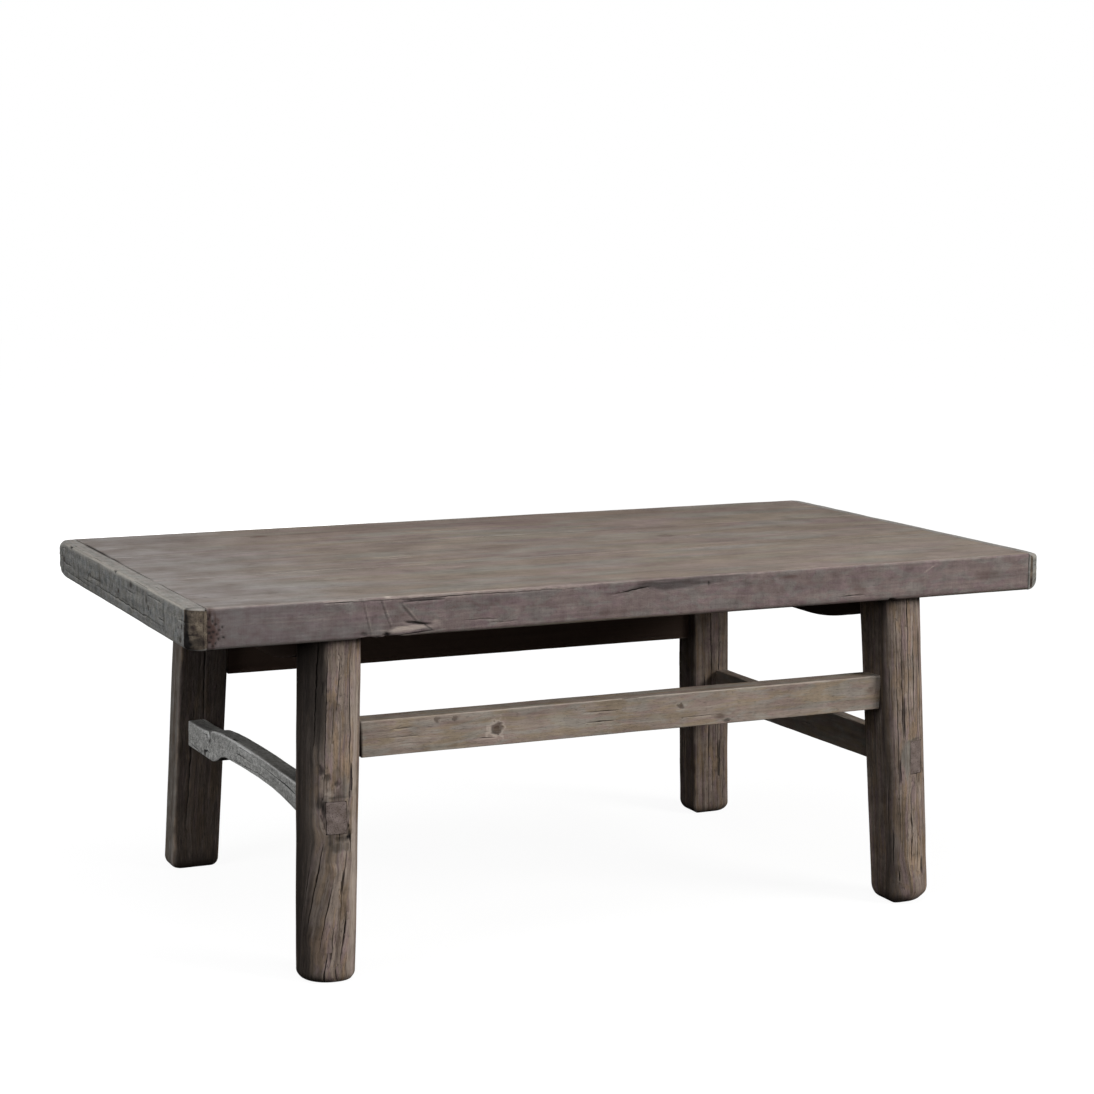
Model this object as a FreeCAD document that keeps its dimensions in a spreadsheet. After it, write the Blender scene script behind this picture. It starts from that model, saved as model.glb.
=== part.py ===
import FreeCAD, Part
import math
import os
import Sketcher

# A low farmhouse table with a thick plank top on four splayed quarter-log legs.
# X runs along the length (left is -X), Y runs from the front (-Y) to the back, Z is up.
# The origin is on the floor under the middle of the top. All sizes are millimetres.

TOP_SIZES = {
    "top_length": 1200,
    "top_width": 661,
    "top_thickness": 51.5,
    "table_height": 479,
    "end_strip_left_width": 23,
    "end_strip_right_width": 17,
    "corner_radius_front_left": 20,
    "corner_radius_back_left": 9,
    "corner_radius_front_right": 9,
    "corner_radius_back_right": 16,
    "upper_edge_radius": 4,
    "under_edge_radius": 6,
    "plank_front_width": 235.5,
    "plank_back_width": 207.5,
    "seam_tongue_depth": 9,
    "seam_tongue_thickness": 14,
    "end_tongue_depth": 9,
    "end_tongue_thickness": 15,
    "end_tongue_inset": 28,
    "peg_head_diameter": 7,
    "peg_tip_diameter": 6,
    "peg_length": 44,
    "peg_edge_inset": 30,
    "peg_set_in": 1.5,
    "peg_count": 5,
}
FIT_SIZES = {
    "fit_gap": 0.1,
    "tongue_end_gap": 1,
    "mortise_end_gap": 2,
    "cut_overrun": 25,
}
LEG_SIZES = {
    "leg_inset_left": 192,
    "leg_inset_right": 198,
    "leg_inset_front": 53.5,
    "leg_inset_back": 51.5,
    "leg_tenon_side": 34,
    "leg_tenon_height": 30,
    "foot_wear_height": 36,
}
# Each leg was split from its own log and leans its own way.
LEG_SHAPES = {
    "front_left": {
        "foot_out_x": 14, "foot_out_y": 16, "top_side": 73, "foot_side": 70,
        "inner_radius": 8, "side_radius": 26, "outer_radius": 38, "foot_round": 12,
        "foot_worn_radius": 28,
    },
    "front_right": {
        "foot_out_x": 20, "foot_out_y": 11, "top_side": 71, "foot_side": 66.5,
        "inner_radius": 6, "side_radius": 14, "outer_radius": 38, "foot_round": 20,
        "foot_worn_radius": 24,
    },
    "back_left": {
        "foot_out_x": 22.5, "foot_out_y": 13, "top_side": 71, "foot_side": 69,
        "inner_radius": 5, "side_radius": 10, "outer_radius": 36, "foot_round": 13,
        "foot_worn_radius": 25,
    },
    "back_right": {
        "foot_out_x": 5.5, "foot_out_y": -1, "top_side": 66.5, "foot_side": 65,
        "inner_radius": 5, "side_radius": 18, "outer_radius": 34, "foot_round": 14,
        "foot_worn_radius": 25,
    },
}
LONG_STRETCHER_SIZES = {
    "front_stretcher_setback": 36,
    "front_stretcher_thickness": 36,
    "front_stretcher_depth": 46.5,
    "front_stretcher_clearance": 272.5,
    "back_stretcher_setback": 32.5,
    "back_stretcher_thickness": 36,
    "back_stretcher_depth": 46,
    "back_stretcher_clearance": 279.5,
    "long_tenon_thickness": 16,
    "long_tenon_shoulder": 7,
    "long_tenon_length": 32,
}
CROSS_RAIL_SIZES = {
    "cross_rail_thickness": 40,
    "cross_rail_end_depth": 26,
    "cross_rail_belly_depth": 55.5,
    "cross_rail_rise_run": 88,
    "cross_rail_bend_share": 0.85,
    "rail_tenon_thickness": 14,
    "rail_tenon_drop": 4,
    "rail_tenon_height": 19,
    "rail_tenon_length": 30,
}
# The left end stretcher is an old crooked member: a block at the back leg, a nick
# across its top, and an arched underside. It stands a little askew in plan.
LEFT_STRETCHER_SIZES = {
    "left_stretcher_thickness": 26,
    "left_stretcher_inset_back": 160,
    "left_stretcher_inset_front": 171.5,
    "left_stretcher_top": 227.5,
    "left_block_top": 221,
    "left_block_underside": 182,
    "left_block_reach": 88,
    "left_nick_depth": 8,
    "left_nick_half_width": 8,
    "left_step_run": 15,
    "left_step_round": 20,
    "left_knob_reach": 128,
    "left_knob_round": 14,
    "left_knob_slope": 36,
    "left_throat_round": 9,
    "left_arch_crown": 205.5,
    "left_arch_crown_share": 0.576,
    "left_arch_bend_share": 0.5,
    "left_front_underside": 187,
}
RIGHT_STRETCHER_SIZES = {
    "right_stretcher_thickness": 20,
    "right_stretcher_inset": 171,
    "right_stretcher_top": 229,
    "right_front_underside": 183.5,
    "right_back_underside": 177.5,
}
ALL_SIZES = (
    TOP_SIZES, FIT_SIZES, LEG_SIZES, LONG_STRETCHER_SIZES,
    CROSS_RAIL_SIZES, LEFT_STRETCHER_SIZES, RIGHT_STRETCHER_SIZES,
)
FOOT_ROUND_STEPS = 3
SAME_PLACE = 1e-4

doc = FreeCAD.newDocument("kang_table")
sheet = doc.addObject("Spreadsheet::Sheet", "Sizes")
parts = []


def fill_sheet():
    """Writes every driving size to the sheet, one to a row, with its alias."""
    rows = {}
    for group in ALL_SIZES:
        rows.update(group)
    for leg, shape in LEG_SHAPES.items():
        for name, number in shape.items():
            rows[f"{leg}_{name}"] = number
    for row, (alias, number) in enumerate(rows.items(), start=1):
        sheet.set(f"A{row}", alias)
        sheet.set(f"B{row}", str(number))
        sheet.setAlias(f"B{row}", alias)
    doc.recompute()


def value(expression):
    """The number that an expression on the sheet gives now."""
    result = sheet.evalExpression(str(expression))
    return float(getattr(result, "Value", result))


half_length = "(Sizes.top_length / 2)"
half_width = "(Sizes.top_width / 2)"
underside = "(Sizes.table_height - Sizes.top_thickness)"
top_middle = f"({underside} + Sizes.top_thickness / 2)"
planks_left = f"(Sizes.end_strip_left_width - {half_length})"
planks_right = f"({half_length} - Sizes.end_strip_right_width)"
front_seam = f"(Sizes.plank_front_width - {half_width})"
back_seam = f"({half_width} - Sizes.plank_back_width)"


class Leg:
    """Where one leg stands: its centre line, its square and its faces, as expressions."""

    def __init__(self, name, side_x, side_y):
        self.name = name
        self.side_x = side_x
        self.side_y = side_y
        inset_x = "Sizes.leg_inset_left" if side_x < 0 else "Sizes.leg_inset_right"
        inset_y = "Sizes.leg_inset_front" if side_y < 0 else "Sizes.leg_inset_back"
        self.top_x = f"({side_x} * ({half_length} - {inset_x}))"
        self.top_y = f"({side_y} * ({half_width} - {inset_y}))"
        self.foot_x = f"({self.top_x} + {side_x} * {self.size('foot_out_x')})"
        self.foot_y = f"({self.top_y} + {side_y} * {self.size('foot_out_y')})"

    def size(self, name):
        return f"Sizes.{self.name}_{name}"

    def between(self, foot, top, height):
        return f"({foot} + ({top} - {foot}) * {height} / {underside})"

    def centre_x(self, height):
        return self.between(self.foot_x, self.top_x, height)

    def centre_y(self, height):
        return self.between(self.foot_y, self.top_y, height)

    def side(self, height):
        return self.between(self.size("foot_side"), self.size("top_side"), height)

    def inner_x(self, height):
        return f"({self.centre_x(height)} - {self.side_x} * {self.side(height)} / 2)"

    def inner_y(self, height):
        return f"({self.centre_y(height)} - {self.side_y} * {self.side(height)} / 2)"

    def outer_x(self, height):
        return f"({self.centre_x(height)} + {self.side_x} * {self.side(height)} / 2)"

    def outer_y(self, height):
        return f"({self.centre_y(height)} + {self.side_y} * {self.side(height)} / 2)"

    def corner_radius(self, corner_x, corner_y):
        """The inner corner is the log's heart, the outer corner its round bark side."""
        outward = (corner_x == self.side_x) + (corner_y == self.side_y)
        return self.size(("inner_radius", "side_radius", "outer_radius")[outward])

    def worn_radius(self, corner_x, corner_y):
        """At the foot every corner but the bark side is worn rounder."""
        outward = (corner_x == self.side_x) + (corner_y == self.side_y)
        return self.size("outer_radius" if outward == 2 else "foot_worn_radius")


LEGS = {
    "front_left": Leg("front_left", -1, -1),
    "front_right": Leg("front_right", 1, -1),
    "back_left": Leg("back_left", -1, 1),
    "back_right": Leg("back_right", 1, 1),
}


def new_body(label):
    """A separate piece of the table. Its label names its file."""
    body = doc.addObject("PartDesign::Body", label)
    body.Label = label
    parts.append(body)
    return body


def sketch_on(body, name, role, offset="0"):
    """A sketch on one of the body's own origin planes, moved along that plane's normal."""
    plane = [item for item in body.Origin.OriginFeatures if item.Role == role][0]
    sketch = body.newObject("Sketcher::SketchObject", name)
    sketch.AttachmentSupport = [(plane, "")]
    sketch.MapMode = "FlatFace"
    sketch.setExpression("AttachmentOffset.Base.z", str(offset))
    return sketch


def fix_point(sketch, item, end, across, up):
    """Ties one point of a sketch to its expressions, measured from the origin."""
    for kind, expression in (("DistanceX", across), ("DistanceY", up)):
        tie = Sketcher.Constraint(kind, -1, 1, item, end, value(expression))
        sketch.setExpression(f"Constraints[{sketch.addConstraint(tie)}]", str(expression))


def draw_outline(sketch, corners):
    """Draws a closed outline through corners given as (across, up) or (across, up, radius)."""
    vectors = [FreeCAD.Vector(value(corner[0]), value(corner[1]), 0) for corner in corners]
    radii = [corner[2] if len(corner) > 2 else None for corner in corners]
    count = len(corners)
    entries, exits, arcs = [], [], []
    for index, here in enumerate(vectors):
        to_last = (vectors[index - 1] - here).normalize()
        to_next = (vectors[(index + 1) % count] - here).normalize()
        if radii[index] is None:
            entries.append(here)
            exits.append(here)
            arcs.append(None)
            continue
        radius = value(radii[index])
        half_angle = to_last.getAngle(to_next) / 2
        reach = radius / math.tan(half_angle)
        centre = here + (to_last + to_next).normalize() * (radius / math.sin(half_angle))
        entry = here + to_last * reach
        leave = here + to_next * reach
        turns_left = to_last.cross(to_next).z < 0
        first, second = (entry, leave) if turns_left else (leave, entry)
        start = math.atan2(first.y - centre.y, first.x - centre.x)
        stop = math.atan2(second.y - centre.y, second.x - centre.x)
        while stop < start:
            stop += 2 * math.pi
        circle = Part.Circle(centre, FreeCAD.Vector(0, 0, 1), radius)
        entries.append(entry)
        exits.append(leave)
        arcs.append((Part.ArcOfCircle(circle, start, stop), turns_left, radius))
    lines = []
    for index in range(count):
        line = Part.LineSegment(exits[index], entries[(index + 1) % count])
        lines.append(sketch.addGeometry(line, False))
    for index, corner in enumerate(corners):
        before, after = lines[index - 1], lines[index]
        if arcs[index] is None:
            sketch.addConstraint(Sketcher.Constraint("Coincident", before, 2, after, 1))
            fix_point(sketch, after, 1, corner[0], corner[1])
            continue
        arc, turns_left, radius = arcs[index]
        curve = sketch.addGeometry(arc, False)
        first, second = (1, 2) if turns_left else (2, 1)
        sketch.addConstraint(Sketcher.Constraint("Tangent", before, 2, curve, first))
        sketch.addConstraint(Sketcher.Constraint("Tangent", curve, second, after, 1))
        size = sketch.addConstraint(Sketcher.Constraint("Radius", curve, radius))
        sketch.setExpression(f"Constraints[{size}]", str(corner[2]))
        corner_point = sketch.addGeometry(Part.Point(vectors[index]), True)
        sketch.addConstraint(Sketcher.Constraint("PointOnObject", corner_point, 1, before))
        sketch.addConstraint(Sketcher.Constraint("PointOnObject", corner_point, 1, after))
        fix_point(sketch, corner_point, 1, corner[0], corner[1])


def draw_rectangle(sketch, left, right, low, high):
    """A rectangle between two across and two up expressions."""
    draw_outline(sketch, [(left, low), (right, low), (right, high), (left, high)])


def draw_circle(sketch, across, up, radius):
    """A circle tied to its centre and radius."""
    centre = FreeCAD.Vector(value(across), value(up), 0)
    circle = Part.Circle(centre, FreeCAD.Vector(0, 0, 1), value(radius))
    item = sketch.addGeometry(circle, False)
    size = sketch.addConstraint(Sketcher.Constraint("Radius", item, value(radius)))
    sketch.setExpression(f"Constraints[{size}]", str(radius))
    fix_point(sketch, item, 3, across, up)


def pad(body, sketch, length, reverse=False):
    """Adds the sketch's shape, along its normal or against it."""
    feature = body.newObject("PartDesign::Pad", f"{sketch.Name}_pad")
    feature.Profile = sketch
    feature.setExpression("Length", str(length))
    feature.Reversed = reverse
    sketch.Visibility = False
    doc.recompute()
    return feature


def pocket(body, sketch, length, along_normal=False):
    """Cuts the sketch's shape, against its normal unless told otherwise."""
    before = body.Shape.Volume
    feature = body.newObject("PartDesign::Pocket", f"{sketch.Name}_cut")
    feature.Profile = sketch
    feature.setExpression("Length", str(length))
    feature.Reversed = along_normal
    sketch.Visibility = False
    doc.recompute()
    if not body.Shape.Volume < before:
        raise RuntimeError(f"{sketch.Name} cuts nothing from {body.Label}")
    return feature


def round_edges(body, name, radius, chosen):
    """Rounds the edges of the body's shape whose two end points pass a test."""
    base = body.Tip
    names = []
    for number, edge in enumerate(base.Shape.Edges, start=1):
        if chosen([vertex.Point for vertex in edge.Vertexes]):
            names.append(f"Edge{number}")
    fillet = body.newObject("PartDesign::Fillet", name)
    fillet.Base = (base, names)
    fillet.setExpression("Radius", str(radius))
    doc.recompute()
    return fillet


def bend_radius(rise, run, bend_share):
    """The radius that rounds a slope's corner over a share of the slope's run."""
    return f"({bend_share} * {run} / tan(atan({rise} / {run}) / 2))"


def near(first, second):
    """Whether two coordinates are the same place."""
    return abs(first - second) < SAME_PLACE


def peg_places():
    """Where the pegs stand along each end strip, as expressions."""
    count = int(value("Sizes.peg_count"))
    first = f"(Sizes.peg_edge_inset - {half_width})"
    step = f"((Sizes.top_width - 2 * Sizes.peg_edge_inset) / (Sizes.peg_count - 1))"
    return [f"({first} + {number} * {step})" for number in range(count)]


def build_plank(label, front, back, tongue_at_back, groove_at_front, legs):
    """One long board of the top, tongued into its neighbour and into both end strips."""
    body = new_body(label)
    sketch = sketch_on(body, f"{label}_outline", "XY_Plane", underside)
    draw_rectangle(sketch, planks_left, planks_right, front, back)
    pad(body, sketch, "Sizes.top_thickness")
    for edge_y, is_outer in ((front, not groove_at_front), (back, not tongue_at_back)):
        if not is_outer:
            continue
        for height, name in (("Sizes.table_height", "upper"), (underside, "under")):
            place_y, place_z = value(edge_y), value(height)

            def on_arris(points, place_y=place_y, place_z=place_z):
                return all(near(end.y, place_y) and near(end.z, place_z) for end in points)

            round_edges(body, f"{label}_{name}_arris", f"Sizes.{name}_edge_radius", on_arris)
    tongue_low = f"({top_middle} - Sizes.end_tongue_thickness / 2)"
    tongue_high = f"({top_middle} + Sizes.end_tongue_thickness / 2)"
    tongue_front = front if groove_at_front else f"({front} + Sizes.end_tongue_inset)"
    tongue_back = back if tongue_at_back else f"({back} - Sizes.end_tongue_inset)"
    for side, end in (("left", planks_left), ("right", planks_right)):
        sketch = sketch_on(body, f"{label}_{side}_tongue", "YZ_Plane", end)
        draw_rectangle(sketch, tongue_front, tongue_back, tongue_low, tongue_high)
        pad(body, sketch, "Sizes.end_tongue_depth", reverse=side == "left")
    half_tongue = "Sizes.seam_tongue_thickness / 2"
    if groove_at_front:
        sketch = sketch_on(body, f"{label}_seam_groove", "XZ_Plane", f"-{front}")
        low = f"({top_middle} - {half_tongue} - Sizes.fit_gap)"
        high = f"({top_middle} + {half_tongue} + Sizes.fit_gap)"
        draw_rectangle(sketch, planks_left, planks_right, low, high)
        pocket(body, sketch, "Sizes.seam_tongue_depth + Sizes.tongue_end_gap")
    if tongue_at_back:
        sketch = sketch_on(body, f"{label}_seam_tongue", "XZ_Plane", f"-{back}")
        low = f"({top_middle} - {half_tongue})"
        high = f"({top_middle} + {half_tongue})"
        draw_rectangle(sketch, planks_left, planks_right, low, high)
        pad(body, sketch, "Sizes.seam_tongue_depth", reverse=True)
    for leg in legs:
        half = "(Sizes.leg_tenon_side / 2 + Sizes.fit_gap)"
        sketch = sketch_on(body, f"{label}_{leg.name}_mortise", "XY_Plane", underside)
        draw_rectangle(
            sketch, f"{leg.top_x} - {half}", f"{leg.top_x} + {half}",
            f"{leg.top_y} - {half}", f"{leg.top_y} + {half}",
        )
        pocket(body, sketch, "Sizes.leg_tenon_height + Sizes.mortise_end_gap", along_normal=True)
    bore_plank(body, front, back)


def bore_plank(body, front, back):
    """Peg holes in both ends of a plank, where a peg falls within its width."""
    radius = "(Sizes.peg_head_diameter / 2 + Sizes.fit_gap)"
    low = value(front) - value(radius)
    high = value(back) + value(radius)
    places = [place for place in peg_places() if low < value(place) < high]
    if not places:
        return
    ends = (
        ("left", planks_left, "Sizes.end_strip_left_width", -1),
        ("right", planks_right, "Sizes.end_strip_right_width", 1),
    )
    for side, end, strip, outward in ends:
        tip = f"({end} + {outward} * (Sizes.end_tongue_depth + Sizes.cut_overrun))"
        reach = f"Sizes.peg_length + Sizes.peg_set_in + Sizes.mortise_end_gap - {strip}"
        depth = f"{reach} + Sizes.end_tongue_depth + Sizes.cut_overrun"
        sketch = sketch_on(body, f"{body.Label}_{side}_peg_holes", "YZ_Plane", tip)
        for place in places:
            draw_circle(sketch, place, top_middle, radius)
        pocket(body, sketch, depth, along_normal=side == "left")


def build_end_strip(side, outward):
    """The narrow strip across one end of the top, grooved for the planks' tongues."""
    label = f"end_strip_{side}"
    body = new_body(label)
    outer = f"({outward} * {half_length})"
    inner = planks_left if side == "left" else planks_right
    front_radius = f"Sizes.corner_radius_front_{side}"
    back_radius = f"Sizes.corner_radius_back_{side}"
    sketch = sketch_on(body, f"{label}_outline", "XY_Plane", underside)
    draw_outline(sketch, [
        (outer, f"-{half_width}", front_radius), (inner, f"-{half_width}"),
        (inner, half_width), (outer, half_width, back_radius),
    ])
    pad(body, sketch, "Sizes.top_thickness")
    for height, name in (("Sizes.table_height", "upper"), (underside, "under")):
        seam, level = value(inner), value(height)

        def off_seam(points, seam=seam, level=level):
            along_seam = all(near(end.x, seam) for end in points)
            return not along_seam and all(near(end.z, level) for end in points)

        round_edges(body, f"{label}_{name}_arris", f"Sizes.{name}_edge_radius", off_seam)
    reach = f"({half_width} - Sizes.end_tongue_inset + Sizes.fit_gap)"
    half_groove = "(Sizes.end_tongue_thickness / 2 + Sizes.fit_gap)"
    sketch = sketch_on(body, f"{label}_groove", "YZ_Plane", inner)
    low = f"{top_middle} - {half_groove}"
    high = f"{top_middle} + {half_groove}"
    draw_rectangle(sketch, f"-{reach}", reach, low, high)
    depth = "Sizes.end_tongue_depth + Sizes.tongue_end_gap"
    pocket(body, sketch, depth, along_normal=side == "right")
    bore = "(Sizes.peg_head_diameter / 2 + Sizes.fit_gap)"
    sketch = sketch_on(body, f"{label}_peg_hole", "YZ_Plane", inner)
    draw_circle(sketch, peg_places()[0], top_middle, bore)
    depth = f"Sizes.end_strip_{side}_width + Sizes.cut_overrun"
    hole = pocket(body, sketch, depth, along_normal=side == "right")
    row = body.newObject("PartDesign::LinearPattern", f"{label}_peg_row")
    row.Originals = [hole]
    row.Direction = (sketch, ["H_Axis"])
    row.setExpression("Length", "Sizes.top_width - 2 * Sizes.peg_edge_inset")
    row.setExpression("Occurrences", "Sizes.peg_count")
    body.Tip = row
    doc.recompute()


def build_pegs(side, outward):
    """The tapered pegs of one end strip, driven in below its outer face."""
    label = f"end_strip_pegs_{side}"
    pegs = []
    for number, place in enumerate(peg_places(), start=1):
        peg = doc.addObject("Part::Cone", f"peg_{side}_{number}")
        peg.setExpression("Radius1", "Sizes.peg_head_diameter / 2")
        peg.setExpression("Radius2", "Sizes.peg_tip_diameter / 2")
        peg.setExpression("Height", "Sizes.peg_length")
        turn = FreeCAD.Rotation(FreeCAD.Vector(0, 1, 0), -90 * outward)
        peg.Placement = FreeCAD.Placement(FreeCAD.Vector(0, 0, 0), turn)
        peg.setExpression("Placement.Base.x", f"{outward} * ({half_length} - Sizes.peg_set_in)")
        peg.setExpression("Placement.Base.y", place)
        peg.setExpression("Placement.Base.z", top_middle)
        pegs.append(peg)
    group = doc.addObject("Part::Compound", label)
    group.Label = label
    group.Links = pegs
    parts.append(group)
    doc.recompute()


def leg_section(body, leg, name, height, inset, corner_radius):
    """The leg's rounded square at one height, shrunk about its centre by an inset."""
    share = f"(1 - 2 * {inset} / {leg.side(height)})"
    half = f"({leg.side(height)} * {share} / 2)"
    corners = []
    for corner_x, corner_y in ((-1, -1), (1, -1), (1, 1), (-1, 1)):
        across = f"({leg.centre_x(height)} + {corner_x} * {half})"
        up = f"({leg.centre_y(height)} + {corner_y} * {half})"
        radius = f"({corner_radius(corner_x, corner_y)} * {share})"
        corners.append((across, up, radius))
    sketch = sketch_on(body, f"leg_{leg.name}_{name}", "XY_Plane", height)
    draw_outline(sketch, corners)
    return sketch


def build_leg(leg):
    """A splayed leg with a rounded foot, a tenon on top and four mortises' worth of joints."""
    body = new_body(f"leg_{leg.name}")
    foot_round = leg.size("foot_round")
    sections = []
    for step in range(FOOT_ROUND_STEPS + 1):
        angle = f"({step} * 90 deg / {FOOT_ROUND_STEPS})"
        height = f"({foot_round} * (1 - cos({angle})))"
        inset = f"({foot_round} * (1 - sin({angle})))"
        name = f"foot_{step}"
        sections.append(leg_section(body, leg, name, height, inset, leg.worn_radius))
    ankle = f"({foot_round} + Sizes.foot_wear_height)"
    for name, height in (("ankle", ankle), ("shoulder", underside)):
        sections.append(leg_section(body, leg, name, height, "0", leg.corner_radius))
    loft = body.newObject("PartDesign::AdditiveLoft", f"leg_{leg.name}_shaft")
    loft.Profile = sections[0]
    loft.Sections = sections[1:]
    loft.Ruled = True
    doc.recompute()
    half = "(Sizes.leg_tenon_side / 2)"
    sketch = sketch_on(body, f"leg_{leg.name}_tenon", "XY_Plane", underside)
    draw_rectangle(
        sketch, f"{leg.top_x} - {half}", f"{leg.top_x} + {half}",
        f"{leg.top_y} - {half}", f"{leg.top_y} + {half}",
    )
    pad(body, sketch, "Sizes.leg_tenon_height")
    return body


class LongStretcher:
    """The front or back stretcher's planes, as expressions."""

    def __init__(self, name, side_y, left_leg, right_leg):
        self.name = name
        self.legs = (left_leg, right_leg)
        face = f"({half_width} - Sizes.{name}_stretcher_setback)"
        inside = f"({face} - Sizes.{name}_stretcher_thickness)"
        self.low_y = f"(-{face})" if side_y < 0 else inside
        self.high_y = f"(-{inside})" if side_y < 0 else face
        self.middle_y = f"(({self.low_y} + {self.high_y}) / 2)"
        self.low = f"Sizes.{name}_stretcher_clearance"
        self.high = f"({self.low} + Sizes.{name}_stretcher_depth)"
        self.tenon_low = f"({self.low} + Sizes.long_tenon_shoulder)"
        self.tenon_high = f"({self.high} - Sizes.long_tenon_shoulder)"
        self.middle = f"(({self.low} + {self.high}) / 2)"

    def tenon_end(self, leg, extra="0"):
        reach = f"(Sizes.long_tenon_length + {extra})"
        return f"({leg.inner_x(self.middle)} + {leg.side_x} * {reach})"


def build_long_stretcher(rail):
    """A rectangular stretcher along the length, shouldered to the legs' sloping faces."""
    label = f"stretcher_{rail.name}"
    body = new_body(label)
    left, right = rail.legs
    sketch = sketch_on(body, f"{label}_side", "XZ_Plane", f"-{rail.low_y}")
    draw_outline(sketch, [
        (f"{left.inner_x(rail.low)} + Sizes.fit_gap", rail.low),
        (f"{right.inner_x(rail.low)} - Sizes.fit_gap", rail.low),
        (f"{right.inner_x(rail.high)} - Sizes.fit_gap", rail.high),
        (f"{left.inner_x(rail.high)} + Sizes.fit_gap", rail.high),
    ])
    pad(body, sketch, f"Sizes.{rail.name}_stretcher_thickness", reverse=True)
    cheek = f"({rail.middle_y} - Sizes.long_tenon_thickness / 2)"
    sketch = sketch_on(body, f"{label}_tenons", "XZ_Plane", f"-{cheek}")
    draw_rectangle(
        sketch, rail.tenon_end(left), rail.tenon_end(right), rail.tenon_low, rail.tenon_high,
    )
    pad(body, sketch, "Sizes.long_tenon_thickness", reverse=True)


def cut_long_mortise(body, leg, rail):
    """The blind mortise for a long stretcher's tenon, in the leg's inner face."""
    name = f"leg_{leg.name}_long_mortise"
    end = rail.tenon_end(leg, "Sizes.mortise_end_gap")
    half = "(Sizes.long_tenon_thickness / 2 + Sizes.fit_gap)"
    sketch = sketch_on(body, name, "YZ_Plane", end)
    draw_rectangle(
        sketch, f"{rail.middle_y} - {half}", f"{rail.middle_y} + {half}",
        f"{rail.tenon_low} - Sizes.fit_gap", f"{rail.tenon_high} + Sizes.fit_gap",
    )
    depth = "Sizes.long_tenon_length + Sizes.mortise_end_gap + Sizes.cut_overrun"
    pocket(body, sketch, depth, along_normal=leg.side_x < 0)


class CrossRail:
    """The rail under one end of the top, between that end's two legs."""

    def __init__(self, side, front_leg, back_leg):
        self.side = side
        self.legs = (front_leg, back_leg)
        self.end_low = f"({underside} - Sizes.cross_rail_end_depth)"
        self.belly = f"({underside} - Sizes.cross_rail_belly_depth)"
        self.high = f"({underside} - Sizes.fit_gap)"
        self.tenon_high = f"({underside} - Sizes.rail_tenon_drop)"
        self.tenon_low = f"({self.tenon_high} - Sizes.rail_tenon_height)"
        middle = f"(({self.end_low} + {self.high}) / 2)"
        self.middle = middle
        self.centre_x = f"(({front_leg.centre_x(middle)} + {back_leg.centre_x(middle)}) / 2)"

    def tenon_end(self, leg, extra="0"):
        reach = f"(Sizes.rail_tenon_length + {extra})"
        return f"({leg.inner_y(self.middle)} + {leg.side_y} * {reach})"


def build_cross_rail(rail):
    """A deep-bellied rail: shallow where it enters the legs, full in the middle."""
    label = f"cross_rail_{rail.side}"
    body = new_body(label)
    front, back = rail.legs
    half = "(Sizes.cross_rail_thickness / 2)"
    sketch = sketch_on(body, f"{label}_side", "YZ_Plane", f"{rail.centre_x} - {half}")
    front_turn = f"({front.inner_y(rail.end_low)} + Sizes.cross_rail_rise_run)"
    back_turn = f"({back.inner_y(rail.end_low)} - Sizes.cross_rail_rise_run)"
    rise = f"({rail.end_low} - {rail.belly})"
    bend = bend_radius(rise, "Sizes.cross_rail_rise_run", "Sizes.cross_rail_bend_share")
    draw_outline(sketch, [
        (f"{front.inner_y(rail.end_low)} + Sizes.fit_gap", rail.end_low),
        (front_turn, rail.belly, bend),
        (back_turn, rail.belly, bend),
        (f"{back.inner_y(rail.end_low)} - Sizes.fit_gap", rail.end_low),
        (f"{back.inner_y(rail.high)} - Sizes.fit_gap", rail.high),
        (f"{front.inner_y(rail.high)} + Sizes.fit_gap", rail.high),
    ])
    pad(body, sketch, "Sizes.cross_rail_thickness")
    cheek = f"{rail.centre_x} - Sizes.rail_tenon_thickness / 2"
    sketch = sketch_on(body, f"{label}_tenons", "YZ_Plane", cheek)
    draw_rectangle(
        sketch, rail.tenon_end(front), rail.tenon_end(back), rail.tenon_low, rail.tenon_high,
    )
    pad(body, sketch, "Sizes.rail_tenon_thickness")


def cut_rail_mortise(body, leg, rail):
    """The blind mortise for the cross rail's tenon, just under the leg's shoulder."""
    name = f"leg_{leg.name}_rail_mortise"
    end = rail.tenon_end(leg, "Sizes.mortise_end_gap")
    half = "(Sizes.rail_tenon_thickness / 2 + Sizes.fit_gap)"
    sketch = sketch_on(body, name, "XZ_Plane", f"-{end}")
    draw_rectangle(
        sketch, f"{rail.centre_x} - {half}", f"{rail.centre_x} + {half}",
        f"{rail.tenon_low} - Sizes.fit_gap", f"{rail.tenon_high} + Sizes.fit_gap",
    )
    depth = "Sizes.rail_tenon_length + Sizes.mortise_end_gap + Sizes.cut_overrun"
    pocket(body, sketch, depth, along_normal=leg.side_y > 0)


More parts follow.
